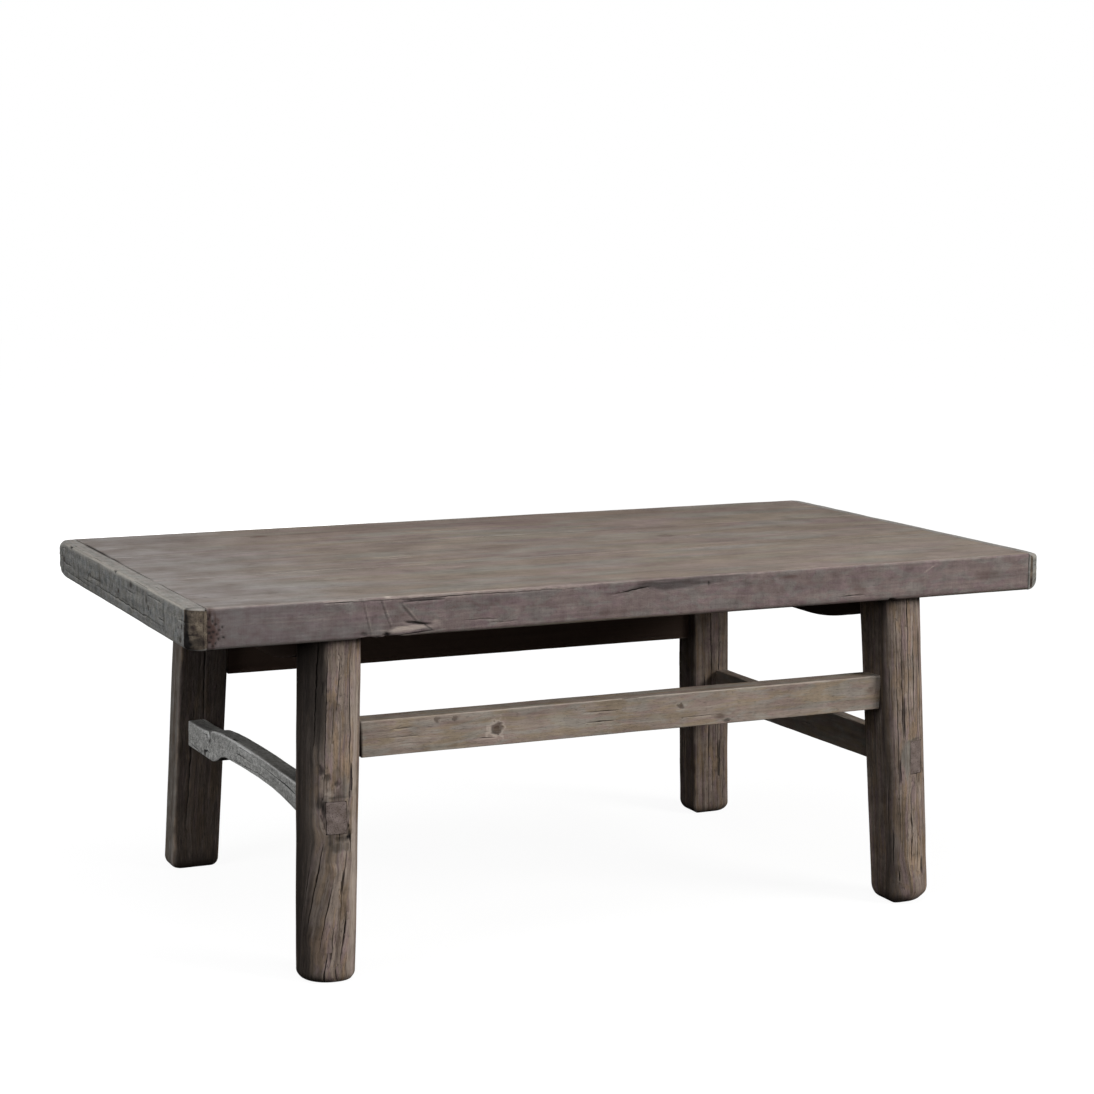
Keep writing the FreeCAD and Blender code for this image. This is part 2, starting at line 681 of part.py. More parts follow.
class EndStretcher:
    """An end stretcher's own frame: its outer or inner long face, turned a little in plan.

    Along the stretcher is local Y and through its thickness is local X. The frame's
    origin is where that face crosses the middle of the table.
    """

    def __init__(self, side, face_x, turn, front_leg, back_leg, front_span, back_span):
        self.side = side
        self.face_x = face_x
        self.turn = turn
        self.thickness = f"Sizes.{side}_stretcher_thickness"
        self.legs = (front_leg, back_leg)
        self.spans = {front_leg.name: front_span, back_leg.name: back_span}

    def local(self, place_x, place_y):
        """A point of the plan in the stretcher's own frame."""
        across = f"(({place_x} - {self.face_x}) * cos({self.turn}) + {place_y} * sin({self.turn}))"
        along = f"({place_y} * cos({self.turn}) - ({place_x} - {self.face_x}) * sin({self.turn}))"
        return across, along

    def middle(self, leg):
        low, high = self.spans[leg.name]
        return f"(({low} + {high}) / 2)"

    def place(self, body):
        """Puts the stretcher's body at its frame."""
        body.setExpression("Placement.Base.x", self.face_x)
        body.setExpression("Placement.Rotation.Angle", self.turn)


def pare_tenon_end(body, stretcher, leg):
    """Pares the end of the stretcher to the round outer corner of the leg it comes out of."""
    height = stretcher.middle(leg)
    over = "Sizes.cut_overrun"
    flat_x, flat_y = leg.outer_x(height), leg.outer_y(height)
    inner_x = leg.inner_x(height)
    centre_y = leg.centre_y(height)
    past_x = f"({flat_x} + {leg.side_x} * 2 * {over})"
    past_y = f"({flat_y} + {leg.side_y} * 2 * {over})"
    start_x = f"({inner_x} - {leg.side_x} * {over})"
    sketch = sketch_on(body, f"{body.Label}_{leg.name}_paring", "XY_Plane", "0")
    plan = [
        (start_x, flat_y), (flat_x, flat_y), (flat_x, centre_y),
        (past_x, centre_y), (past_x, past_y), (start_x, past_y),
    ]
    corners = [stretcher.local(*point) for point in plan]
    corners[1] = (*corners[1], leg.corner_radius(leg.side_x, leg.side_y))
    draw_outline(sketch, corners)
    pocket(body, sketch, "Sizes.table_height", along_normal=True)


def cut_end_mortise(body, leg, stretcher):
    """The mortise right through the leg that the whole end stretcher passes into."""
    name = f"leg_{leg.name}_end_mortise"
    low, high = stretcher.spans[leg.name]
    sketch = sketch_on(body, name, "XZ_Plane", "0")
    sketch.setExpression("AttachmentOffset.Base.x", stretcher.face_x)
    sketch.setExpression("AttachmentOffset.Rotation.Axis.y", "1")
    sketch.setExpression("AttachmentOffset.Rotation.Axis.z", "0")
    sketch.setExpression("AttachmentOffset.Rotation.Angle", stretcher.turn)
    draw_rectangle(
        sketch, "-Sizes.fit_gap", f"{stretcher.thickness} + Sizes.fit_gap",
        f"{low} - Sizes.fit_gap", f"{high} + Sizes.fit_gap",
    )
    pocket(body, sketch, half_width, along_normal=leg.side_y < 0)


def build_left_end_stretcher(stretcher):
    """The crooked stretcher: block, nick and step on top, knob and long arch below."""
    body = new_body("stretcher_end_left")
    front, back = stretcher.legs
    front_end = f"({front.outer_y('Sizes.left_front_underside')} - Sizes.cut_overrun)"
    back_end = f"({back.outer_y('Sizes.left_block_underside')} + Sizes.cut_overrun)"
    block_face = f"({back.inner_y('Sizes.left_block_top')} - Sizes.left_block_reach)"
    nick_y = f"({block_face} - Sizes.left_nick_half_width)"
    nick_end = f"({nick_y} - Sizes.left_nick_half_width)"
    step_end = f"({nick_end} - Sizes.left_step_run)"
    knob_y = f"({back.inner_y('Sizes.left_block_underside')} - Sizes.left_knob_reach)"
    throat_y = f"({knob_y} - Sizes.left_knob_slope)"
    shoulder_y = front.inner_y("Sizes.left_front_underside")
    crown_y = f"({shoulder_y} + ({throat_y} - {shoulder_y}) * Sizes.left_arch_crown_share)"
    rise = "(Sizes.left_arch_crown - Sizes.left_front_underside)"
    bend = bend_radius(rise, f"({crown_y} - {shoulder_y})", "Sizes.left_arch_bend_share")
    sketch = sketch_on(body, "stretcher_end_left_side", "YZ_Plane", "0")
    draw_outline(sketch, [
        (front_end, "Sizes.left_front_underside"),
        (shoulder_y, "Sizes.left_front_underside"),
        (crown_y, "Sizes.left_arch_crown", bend),
        (throat_y, "Sizes.left_arch_crown", "Sizes.left_throat_round"),
        (knob_y, "Sizes.left_block_underside", "Sizes.left_knob_round"),
        (back_end, "Sizes.left_block_underside"),
        (back_end, "Sizes.left_block_top"),
        (block_face, "Sizes.left_block_top"),
        (nick_y, "Sizes.left_block_top - Sizes.left_nick_depth"),
        (nick_end, "Sizes.left_block_top"),
        (step_end, "Sizes.left_stretcher_top", "Sizes.left_step_round"),
        (front_end, "Sizes.left_stretcher_top"),
    ])
    pad(body, sketch, stretcher.thickness)
    for leg in stretcher.legs:
        pare_tenon_end(body, stretcher, leg)
    stretcher.place(body)


def build_right_end_stretcher(stretcher):
    """The straight stretcher: level on top, deeper towards the back."""
    body = new_body("stretcher_end_right")
    front, back = stretcher.legs
    over = "Sizes.cut_overrun"
    front_low, back_low = "Sizes.right_front_underside", "Sizes.right_back_underside"
    front_end = f"({front.outer_y(front_low)} - {over})"
    back_end = f"({back.outer_y(back_low)} + {over})"
    sketch = sketch_on(body, "stretcher_end_right_side", "YZ_Plane", "0")
    draw_outline(sketch, [
        (front_end, front_low),
        (front.inner_y(front_low), front_low),
        (back.inner_y(back_low), back_low),
        (back_end, back_low),
        (back_end, "Sizes.right_stretcher_top"),
        (front_end, "Sizes.right_stretcher_top"),
    ])
    pad(body, sketch, stretcher.thickness)
    for leg in stretcher.legs:
        pare_tenon_end(body, stretcher, leg)
    stretcher.place(body)


def build_top():
    """Three planks, two end strips and the pegs that hold the strips on."""
    front_legs = (LEGS["front_left"], LEGS["front_right"])
    back_legs = (LEGS["back_left"], LEGS["back_right"])
    front, back = f"(-{half_width})", half_width
    build_plank("top_plank_front", front, front_seam, True, False, front_legs)
    build_plank("top_plank_middle", front_seam, back_seam, True, True, ())
    build_plank("top_plank_back", back_seam, back, False, True, back_legs)
    for side, outward in (("left", -1), ("right", 1)):
        build_end_strip(side, outward)
        build_pegs(side, outward)


def build_underframe():
    """Four legs, two cross rails, two long stretchers and two end stretchers."""
    long_stretchers = {
        "front": LongStretcher("front", -1, LEGS["front_left"], LEGS["front_right"]),
        "back": LongStretcher("back", 1, LEGS["back_left"], LEGS["back_right"]),
    }
    cross_rails = {
        "left": CrossRail("left", LEGS["front_left"], LEGS["back_left"]),
        "right": CrossRail("right", LEGS["front_right"], LEGS["back_right"]),
    }
    run = f"({LEGS['back_left'].inner_y('Sizes.left_block_top')}"
    run += f" - {LEGS['front_left'].inner_y('Sizes.left_stretcher_top')})"
    fall = "(Sizes.left_stretcher_inset_front - Sizes.left_stretcher_inset_back)"
    mean_inset = "(Sizes.left_stretcher_inset_front + Sizes.left_stretcher_inset_back) / 2"
    end_stretchers = {
        "left": EndStretcher(
            "left", f"({mean_inset} - {half_length})", f"atan({fall} / {run})",
            LEGS["front_left"], LEGS["back_left"],
            ("Sizes.left_front_underside", "Sizes.left_stretcher_top"),
            ("Sizes.left_block_underside", "Sizes.left_block_top"),
        ),
        "right": EndStretcher(
            "right",
            f"({half_length} - Sizes.right_stretcher_inset - Sizes.right_stretcher_thickness)",
            "0 deg", LEGS["front_right"], LEGS["back_right"],
            ("Sizes.right_front_underside", "Sizes.right_stretcher_top"),
            ("Sizes.right_back_underside", "Sizes.right_stretcher_top"),
        ),
    }
    for name, leg in LEGS.items():
        body = build_leg(leg)
        row, side = name.split("_")
        cut_long_mortise(body, leg, long_stretchers[row])
        cut_rail_mortise(body, leg, cross_rails[side])
        cut_end_mortise(body, leg, end_stretchers[side])
    for rail in long_stretchers.values():
        build_long_stretcher(rail)
    for rail in cross_rails.values():
        build_cross_rail(rail)
    build_left_end_stretcher(end_stretchers["left"])
    build_right_end_stretcher(end_stretchers["right"])


def check_document():
    """Stops if any object failed or any piece has no valid shape."""
    for item in doc.Objects:
        if "Invalid" in item.State or "Error" in item.State:
            raise RuntimeError(f"{item.Label} failed: {item.State}")
    for part in parts:
        if part.Shape.isNull() or not part.Shape.isValid():
            raise RuntimeError(f"{part.Label} has no valid shape")


def export_parts():
    """Writes each piece to its own file and prints its volume in cubic centimetres."""
    os.makedirs("parts", exist_ok=True)
    for part in parts:
        part.Shape.exportStep(f"parts/{part.Label}.step")
        solids = len(part.Shape.Solids)
        print(f"{part.Label}: {solids} solid(s), {part.Shape.Volume / 1000:.1f} cm3")


fill_sheet()
build_top()
build_underframe()
doc.recompute()
check_document()
export_parts()
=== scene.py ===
"""The kang table dressed as old, dry, bare elm: its timbers, their finishes, the floor, the light and the camera."""

import logging
import math
from dataclasses import dataclass, field
from enum import Enum

import bmesh
import bpy
import numpy as np
from mathutils import Matrix, Vector


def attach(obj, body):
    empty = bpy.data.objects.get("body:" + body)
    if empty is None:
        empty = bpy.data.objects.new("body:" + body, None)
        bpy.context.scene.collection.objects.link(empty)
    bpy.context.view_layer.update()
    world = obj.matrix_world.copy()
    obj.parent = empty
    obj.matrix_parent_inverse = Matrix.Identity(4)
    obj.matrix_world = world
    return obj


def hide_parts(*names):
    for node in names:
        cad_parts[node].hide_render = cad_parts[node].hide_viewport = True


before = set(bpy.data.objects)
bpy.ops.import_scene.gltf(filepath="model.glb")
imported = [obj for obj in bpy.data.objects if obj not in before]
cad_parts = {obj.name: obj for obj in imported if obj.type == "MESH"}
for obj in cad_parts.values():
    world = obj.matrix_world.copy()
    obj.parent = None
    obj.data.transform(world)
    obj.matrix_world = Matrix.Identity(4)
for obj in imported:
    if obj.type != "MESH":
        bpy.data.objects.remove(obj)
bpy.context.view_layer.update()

MM = 0.001
TABLE_HEIGHT = 479.0
TOP_UNDERSIDE = 427.5
HALF_LENGTH = 600.0
HALF_WIDTH = 330.5

log = logging.getLogger("kang_table")


class Axis(Enum):
    """The direction in which a timber's grain runs."""

    LENGTH = 0
    DEPTH = 1
    HEIGHT = 2


class Side(Enum):
    """One long side of a timber, named by where it faces."""

    FRONT = "front"
    BACK = "back"
    LEFT = "left"
    RIGHT = "right"
    TOP = "top"
    UNDER = "under"


# The four long sides in the order in which a timber's outline is walked, counter-clockwise.
SIDE_ORDER = {
    Axis.LENGTH: (Side.UNDER, Side.BACK, Side.TOP, Side.FRONT),
    Axis.DEPTH: (Side.UNDER, Side.RIGHT, Side.TOP, Side.LEFT),
    Axis.HEIGHT: (Side.FRONT, Side.RIGHT, Side.BACK, Side.LEFT),
}


def soft_noise(seed: int, across: np.ndarray, along: np.ndarray,
               cell: tuple[float, float], around: float = 0.0) -> np.ndarray:
    """Smooth seeded noise over a timber's surface.

    Args:
        seed: which pattern.
        across: places round the outline, in mm.
        along: places along the grain, in mm.
        cell: the pattern's size across and along the grain, in mm.
        around: the outline's whole length, so that the pattern closes on itself.

    Returns:
        Values from about -1 to 1.
    """
    lattice = np.random.default_rng(seed).uniform(-1.0, 1.0, (256, 256))
    count = max(1, round(around / cell[0])) if around else 256
    width = around / count if around else cell[0]
    x, y = across / width, along / cell[1]
    x0, y0 = np.floor(x).astype(int), np.floor(y).astype(int)
    fx, fy = x - x0, y - y0
    fx, fy = fx * fx * (3 - 2 * fx), fy * fy * (3 - 2 * fy)
    left, right = x0 % count % 256, (x0 + 1) % count % 256
    low, high = y0 % 256, (y0 + 1) % 256
    near = lattice[left, low] * (1 - fx) + lattice[right, low] * fx
    far = lattice[left, high] * (1 - fx) + lattice[right, high] * fx
    return near * (1 - fy) + far * fy


def linear(code: str) -> tuple[float, float, float, float]:
    """Turns an sRGB hex colour into the linear colour that a shader socket takes."""
    parts = [int(code[i:i + 2], 16) / 255 for i in (1, 3, 5)]
    return (*[p / 12.92 if p <= 0.04045 else ((p + 0.055) / 1.055) ** 2.4 for p in parts], 1.0)


def add(tree: bpy.types.NodeTree, kind: str, links: dict[str | int, object] | None = None,
        **settings: object) -> bpy.types.Node:
    """Adds one node to a tree.

    Args:
        tree: the material's node tree.
        kind: the node's type name.
        links: for each input, a socket to link it to or a value to set.
        settings: the node's own properties.

    Returns:
        The new node.
    """
    node = tree.nodes.new(kind)
    for name, setting in settings.items():
        setattr(node, name, setting)
    for name, source in (links or {}).items():
        if isinstance(source, bpy.types.NodeSocket):
            tree.links.new(source, node.inputs[name])
        else:
            node.inputs[name].default_value = source
    return node


@dataclass(frozen=True)
class OldWood:
    """Bare old timber: the eye sees raised pale fibres, dark growth lines, open pores and dirt in the checks.

    Every width is the real one in mm, but the fibres and pores of elm, about 0.3 mm wide,
    are drawn two to three times as wide, because the render shows nothing finer.

    Attributes:
        name: the material's name.
        light, dark: the wood between its growth lines and on them.
        deep, worn, grey, stain: dirt in cracks, rubbed arrises, dried-out wood and old stains; stain and deep also
            paint shade on faces and beside dents out of the light, and worn paints a few highlights.
        tints: the hues that cloud the surface.
        tinting: how strongly they show.
        cloud: the width and length of a cloud.
        fibre, ring: the width and length of the fibres and of the growth lines.
        blotch: the size of the lighter and darker patches.
        weights: how strongly fibres, growth lines and patches show.
        saw: how strongly the old saw's marks show across the grain.
        pores: how dark the open pores are.
        relief: the height of the raised fibres.
        rough: the mean roughness.
    """

    name: str
    light: str
    dark: str
    deep: str
    worn: str
    grey: str
    stain: str
    tints: tuple[str, ...] = ()
    tinting: float = 0.6
    cloud: tuple[float, float] = (26.0, 70.0)
    fibre: tuple[float, float] = (0.9, 34.0)
    ring: tuple[float, float] = (7.0, 420.0)
    blotch: float = 60.0
    weights: tuple[float, float, float] = (1.5, 1.7, 1.5)
    saw: float = 0.0
    pores: float = 0.55
    relief: float = 0.35
    rough: float = 0.72

    def material(self) -> bpy.types.Material:
        """Builds the finish as one material that reads the grain map, the tone attribute and Object coordinates.

        Returns:
            The material, made once and found again by its name.
        """
        if self.name in bpy.data.materials:
            return bpy.data.materials[self.name]
        made = bpy.data.materials.new(self.name)
        made.use_nodes = True
        tree = made.node_tree
        tree.nodes.clear()
        grain = add(tree, "ShaderNodeUVMap", uv_map="grain").outputs["UV"]
        place = add(tree, "ShaderNodeTexCoord").outputs["Object"]
        tone = add(tree, "ShaderNodeAttribute", attribute_name="tone")
        parts = add(tree, "ShaderNodeSeparateColor", {"Color": tone.outputs["Color"]})
        crevice, wear, cool = (parts.outputs[k] for k in ("Red", "Green", "Blue"))
        stain = tone.outputs["Alpha"]

        def streaks(size: tuple[float, float], detail: float, bend: float, aside: float = 0.0) -> bpy.types.NodeSocket:
            """Noise drawn out along the grain, at a real width and length in mm, moved aside to make it another."""
            scale = (1 / (size[0] * MM), 1 / (size[1] * MM), 1.0)
            spot = add(tree, "ShaderNodeVectorMath", {0: grain, 1: scale, 2: (aside, aside, 0.0)},
                       operation="MULTIPLY_ADD")
            noise = add(tree, "ShaderNodeTexNoise", {
                "Vector": spot.outputs["Vector"], "Scale": 1.0, "Detail": detail,
                "Roughness": 0.6, "Distortion": bend}, noise_dimensions="2D")
            return noise.outputs["Fac"]

        def clouds(size: float, detail: float) -> bpy.types.NodeSocket:
            """Even noise at a real size in mm."""
            noise = add(tree, "ShaderNodeTexNoise", {
                "Vector": place, "Scale": 1 / (size * MM), "Detail": detail, "Roughness": 0.6})
            return noise.outputs["Fac"]

        def math_of(kind: str, first: object, second: object, third: object = 0.0) -> bpy.types.NodeSocket:
            """One sum of two or three values."""
            return add(tree, "ShaderNodeMath", {0: first, 1: second, 2: third}, operation=kind).outputs[0]

        def blend(share: object, below: object, above: object, mode: str = "MIX") -> bpy.types.NodeSocket:
            """One colour laid over another by a share."""
            mixed = add(tree, "ShaderNodeMix", data_type="RGBA", clamp_factor=True, blend_type=mode)
            for socket, source in ((mixed.inputs[0], share), (mixed.inputs[6], below), (mixed.inputs[7], above)):
                if isinstance(source, bpy.types.NodeSocket):
                    tree.links.new(source, socket)
                else:
                    socket.default_value = source
            return mixed.outputs[2]

        def ramp(source: object, low: float, high: float) -> bpy.types.NodeSocket:
            """A value stretched so that low becomes 0 and high becomes 1, with soft ends."""
            return add(tree, "ShaderNodeMapRange", {"Value": source, "From Min": low, "From Max": high},
                       interpolation_type="SMOOTHSTEP").outputs["Result"]

        fibre = streaks(self.fibre, 4.0, 0.0)
        fine = streaks((self.fibre[0] * 0.45, self.fibre[1] * 0.4), 2.0, 0.0)
        ring = streaks(self.ring, 3.0, 0.5)
        blotch = clouds(self.blotch, 5.0)
        pore = ramp(streaks((self.fibre[0] * 0.8, self.fibre[1] * 0.28), 1.0, 0.0), 0.60, 0.74)
        speck = ramp(clouds(3.2, 2.0), 0.62, 0.75)

        shade = 0.5 - 0.5 * (sum(self.weights) + self.saw)
        for pattern, weight in zip((fibre, ring, blotch), self.weights):
            shade = math_of("MULTIPLY_ADD", pattern, weight, shade)
        if self.saw:
            shade = math_of("MULTIPLY_ADD", streaks((34.0, 1.3), 2.0, 0.0), self.saw, shade)
        colour = blend(shade, linear(self.dark), linear(self.light))
        for number, tint in enumerate(self.tints):
            patch = ramp(streaks(self.cloud, 3.0, 0.4, 5.3 + 4.1 * number), 0.46, 0.62)
            colour = blend(math_of("MULTIPLY", patch, self.tinting), colour, linear(tint), "COLOR")
        colour = blend(math_of("MULTIPLY", pore, self.pores), colour, linear(self.deep))
        colour = blend(math_of("MULTIPLY", speck, 0.3), colour, linear(self.deep))
        colour = blend(math_of("MULTIPLY", cool, 0.9), colour, blend(shade, linear(self.dark), linear(self.grey)))
        rough_edge = math_of("MULTIPLY_ADD", fibre, 1.6, -0.3)
        # The stain channel carries real stains and also painted shade on faces under the table.
        soaked = math_of("MULTIPLY_ADD", stain, 0.9, rough_edge)
        colour = blend(math_of("MULTIPLY", stain, soaked), colour, linear(self.stain))
        # The wear channel carries rubbed wear and also a few painted highlights.
        rubbed = math_of("MULTIPLY_ADD", wear, 0.4, rough_edge)
        colour = blend(math_of("MULTIPLY", wear, rubbed), colour, linear(self.worn))
        # Crevice: dirt in cracks, and painted shadow where a mark puts it.
        colour = blend(crevice, colour, linear(self.deep))

        height = math_of("MULTIPLY_ADD", fibre, 0.9, math_of("MULTIPLY", fine, 0.5))
        height = math_of("MULTIPLY_ADD", pore, -0.6, height)
        height = math_of("MULTIPLY_ADD", clouds(2.2, 3.0), 0.35, height)
        bump = add(tree, "ShaderNodeBump", {"Strength": 0.9, "Distance": self.relief * MM, "Height": height})
        rough = math_of("MULTIPLY_ADD", fibre, -0.22, self.rough + 0.11)
        shader = add(tree, "ShaderNodeBsdfPrincipled", {
            "Base Color": colour, "Roughness": rough, "IOR": 1.5, "Specular IOR Level": 0.35,
            "Normal": bump.outputs["Normal"]})
        add(tree, "ShaderNodeOutputMaterial", {"Surface": shader.outputs["BSDF"]})
        return made


@dataclass(frozen=True)
class EndGrain:
    """Sawn or broken end grain: the eye sees dark open pores, faint rings and small star checks."""

    name: str
    light: str
    dark: str
    deep: str
    ring: float = 4.0
    patchy: float = 1.7

    def material(self) -> bpy.types.Material:
        """Builds the finish on Object coordinates and the tone attribute.

        Returns:
            The material, made once and found again by its name.
        """
        if self.name in bpy.data.materials:
            return bpy.data.materials[self.name]
        made = bpy.data.materials.new(self.name)
        made.use_nodes = True
        tree = made.node_tree
        tree.nodes.clear()
        place = add(tree, "ShaderNodeTexCoord").outputs["Object"]
        cloud = add(tree, "ShaderNodeTexNoise", {
            "Vector": place, "Scale": 1 / (9 * MM), "Detail": 5.0, "Roughness": 0.65}).outputs["Fac"]
        rings = add(tree, "ShaderNodeTexWave", {
            "Vector": place, "Scale": 1 / (self.ring * MM) / 6.28, "Distortion": 6.0, "Detail": 2.0,
            "Detail Scale": 1.2}, wave_type="BANDS", bands_direction="DIAGONAL").outputs["Fac"]
        grit = add(tree, "ShaderNodeTexVoronoi", {"Vector": place, "Scale": 1 / (1.6 * MM)}).outputs["Distance"]
        hole = add(tree, "ShaderNodeMapRange", {"Value": grit, "From Min": 0.34, "From Max": 0.16}).outputs["Result"]
        shade = add(tree, "ShaderNodeMath", {0: cloud, 1: self.patchy, 2: 0.4 - self.patchy / 2},
                    operation="MULTIPLY_ADD").outputs[0]
        shade = add(tree, "ShaderNodeMath", {0: rings, 1: 0.3, 2: shade}, operation="MULTIPLY_ADD").outputs[0]
        base = add(tree, "ShaderNodeMix", data_type="RGBA", clamp_factor=True)
        tree.links.new(shade, base.inputs[0])
        base.inputs[6].default_value = linear(self.dark)
        base.inputs[7].default_value = linear(self.light)
        tone = add(tree, "ShaderNodeAttribute", attribute_name="tone")
        crevice = add(tree, "ShaderNodeSeparateColor", {"Color": tone.outputs["Color"]}).outputs["Red"]
        dirt = add(tree, "ShaderNodeMath", {0: hole, 1: crevice}, operation="MAXIMUM").outputs[0]
        over = add(tree, "ShaderNodeMix", data_type="RGBA", clamp_factor=True)
        tree.links.new(dirt, over.inputs[0])
        tree.links.new(base.outputs[2], over.inputs[6])
        over.inputs[7].default_value = linear(self.deep)
        height = add(tree, "ShaderNodeMath", {0: hole, 1: -0.7, 2: cloud}, operation="MULTIPLY_ADD").outputs[0]
        bump = add(tree, "ShaderNodeBump", {"Strength": 0.9, "Distance": 0.5 * MM, "Height": height})
        shader = add(tree, "ShaderNodeBsdfPrincipled", {
            "Base Color": over.outputs[2], "Roughness": 0.85, "IOR": 1.5, "Specular IOR Level": 0.25,
            "Normal": bump.outputs["Normal"]})
        add(tree, "ShaderNodeOutputMaterial", {"Surface": shader.outputs["BSDF"]})
        return made


# Elm top, handled for generations and left bare: brown-grey, cooler and paler where it has dried out.
TOP_ELM = OldWood("old_elm_top", light="#94877E", dark="#6C6059", deep="#2A2320", worn="#A79D92",
                  grey="#9B9A9A", stain="#66534B", tints=("#8C7A7A", "#83857D", "#897D6C"), tinting=0.45,
                  cloud=(44.0, 210.0), fibre=(1.1, 24.0), ring=(12.0, 130.0), blotch=58.0, weights=(1.0, 0.6, 1.6),
                  pores=0.2)
# The edge of the front plank: the same elm with a pinkish cast, hewn and dented.
FRONT_ELM = OldWood("old_elm_edge", light="#8E807D", dark="#665857", deep="#1D1715", worn="#B8AAA1",
                    grey="#757375", stain="#57423E", tints=("#8A757A", "#7F7D79"), tinting=0.6,
                    cloud=(14.0, 36.0), fibre=(0.8, 12.0), ring=(6.0, 40.0), blotch=14.0,
                    weights=(0.7, 0.5, 1.8), saw=0.4, pores=0.3)
# End strips: drier and greyer than the planks, with wormed and dirty grain.
STRIP_ELM = OldWood("old_elm_end_strip", light="#A09C97", dark="#74716D", deep="#1F1B18", worn="#AFA99F",
                    grey="#99979A", stain="#5B4A3A", tints=("#8A8B87", "#8C8580"), cloud=(7.0, 40.0),
                    fibre=(0.9, 14.0), ring=(5.0, 90.0), blotch=14.0, weights=(0.9, 0.9, 1.5), pores=0.4)
# The strips' outer faces: bleached to a slaty grey, pitted and blotched down their height.
END_FACE_ELM = OldWood("slaty_elm_end_face", light="#A5A4A0", dark="#686765", deep="#191817", worn="#B5B1A8",
                       grey="#8B9092", stain="#443F3A", tints=("#848786", "#8A877E"), cloud=(14.0, 18.0),
                       fibre=(0.9, 7.0), ring=(11.0, 10.0), blotch=12.0, weights=(1.2, 1.4, 1.6), pores=0.75,
                       relief=0.6)
# Quarter-log legs: deep drying checks, brown between them; the nearly black stain is the dark bark side and also
# painted shade on faces away from the light.
LEG_ELM = OldWood("split_elm_leg", light="#A6978C", dark="#655649", deep="#15100D", worn="#BCAEA2",
                  grey="#8B8B86", stain="#2A221C", tints=("#8F7A79", "#8E7860"), tinting=0.8, cloud=(9.0, 60.0),
                  fibre=(0.9, 26.0), ring=(4.2, 120.0), blotch=22.0, weights=(1.4, 1.7, 1.5), pores=0.5, relief=0.6)
# Long stretchers: planed once, paler and browner; on the back stretcher and the rails, its stain colour paints the
# shade under the top.
STRETCHER_ELM = OldWood("planed_elm_stretcher", light="#AEA095", dark="#83756A", deep="#2B211A", worn="#C9BCB0",
                        grey="#9D978F", stain="#4E3D32", tints=("#94807A", "#8F8068", "#85827B"), tinting=0.6,
                        cloud=(12.0, 60.0), fibre=(0.9, 30.0), ring=(7.0, 160.0), blotch=28.0,
                        weights=(1.0, 0.9, 1.4), pores=0.3)
# Left end stretcher: an older reused stick, silver-grey and coarse; its stain colour paints the shade on its top, inner
# and under faces.
GREY_ELM = OldWood("weathered_grey_elm", light="#E6E5E0", dark="#8E8D88", deep="#2C2926", worn="#F6F5F1",
                   grey="#C4C5C3", stain="#55534F", fibre=(1.2, 4.0), ring=(4.5, 14.0), blotch=6.0,
                   weights=(2.2, 1.2, 2.0), pores=0.7, relief=1.0)
END_GRAIN = EndGrain("elm_end_grain", light="#8B8178", dark="#4E453F", deep="#1C1714")
# The worn corners of the strips: brown, wormed end grain with an ochre heart.
CORNER_GRAIN = EndGrain("wormed_corner_end_grain", light="#807465", dark="#3A302C", deep="#120F0D", ring=7.0, patchy=3.2)
# The tenons' pared ends: smooth, closed by handling, a little purple beside the legs.
TENON_GRAIN = EndGrain("pared_tenon_end_grain", light="#8B7E7A", dark="#62564F", deep="#2E2522", ring=6.0, patchy=2.2)
FOOT_GRAIN = EndGrain("worn_foot_end_grain", light="#6B6058", dark="#3D352F", deep="#14100E", ring=4.0)
PEG_GRAIN = EndGrain("peg_end_grain", light="#5D5148", dark="#332B26", deep="#120E0C", ring=1.5)


@dataclass(frozen=True)
class Check:
    """A drying check: a crack that opens along the grain.

    Attributes:
        side: the side that it is on, or None where place is measured from the bark corner.
        place: its place across that side, in mm.
        start: where it begins along the grain, in mm.
        stop: where it ends, in mm.
        width: its widest opening, in mm.
        depth: its greatest depth, in mm.
        slant: how far across it has moved at its stop, in mm.
        waver: how far it wanders on the way, in mm.
        widest: the share of its length at which it is widest.
    """

    side: Side | None
    place: float
    start: float
    stop: float
    width: float
    depth: float
    slant: float = 0.0
    waver: float = 0.5
    widest: float = 0.5


@dataclass(frozen=True)
class Mark:
    """A dent, stain, worn patch or scratch: an ellipse that may lean across the grain.

    Attributes:
        side: the side that it is on, or None where place is measured from the bark corner.
        place: its middle across that side, in mm.
        along: its middle along the grain, in mm.
        reach: its half sizes across and along, in mm.
        depth: how far it is pressed in, in mm.
        lean: how far across it moves for each mm along.
        edge: how sharply it stops, from 1 for soft to 8 for crisp.
        ragged: how far its outline strays, as a share of its size.
        crevice, wear, grey, stain: how much of each tone it carries.
    """

    side: Side | None
    place: float
    along: float
    reach: tuple[float, float]
    depth: float = 0.0
    lean: float = 0.0
    edge: float = 2.0
    ragged: float = 0.25
    crevice: float = 0.0
    wear: float = 0.0
    grey: float = 0.0
    stain: float = 0.0


@dataclass(frozen=True)
class Knot:
    """A knot that the grain flows round."""

    side: Side | None
    place: float
    along: float
    radius: float
    stain: float = 0.8
    halo: float = 0.0


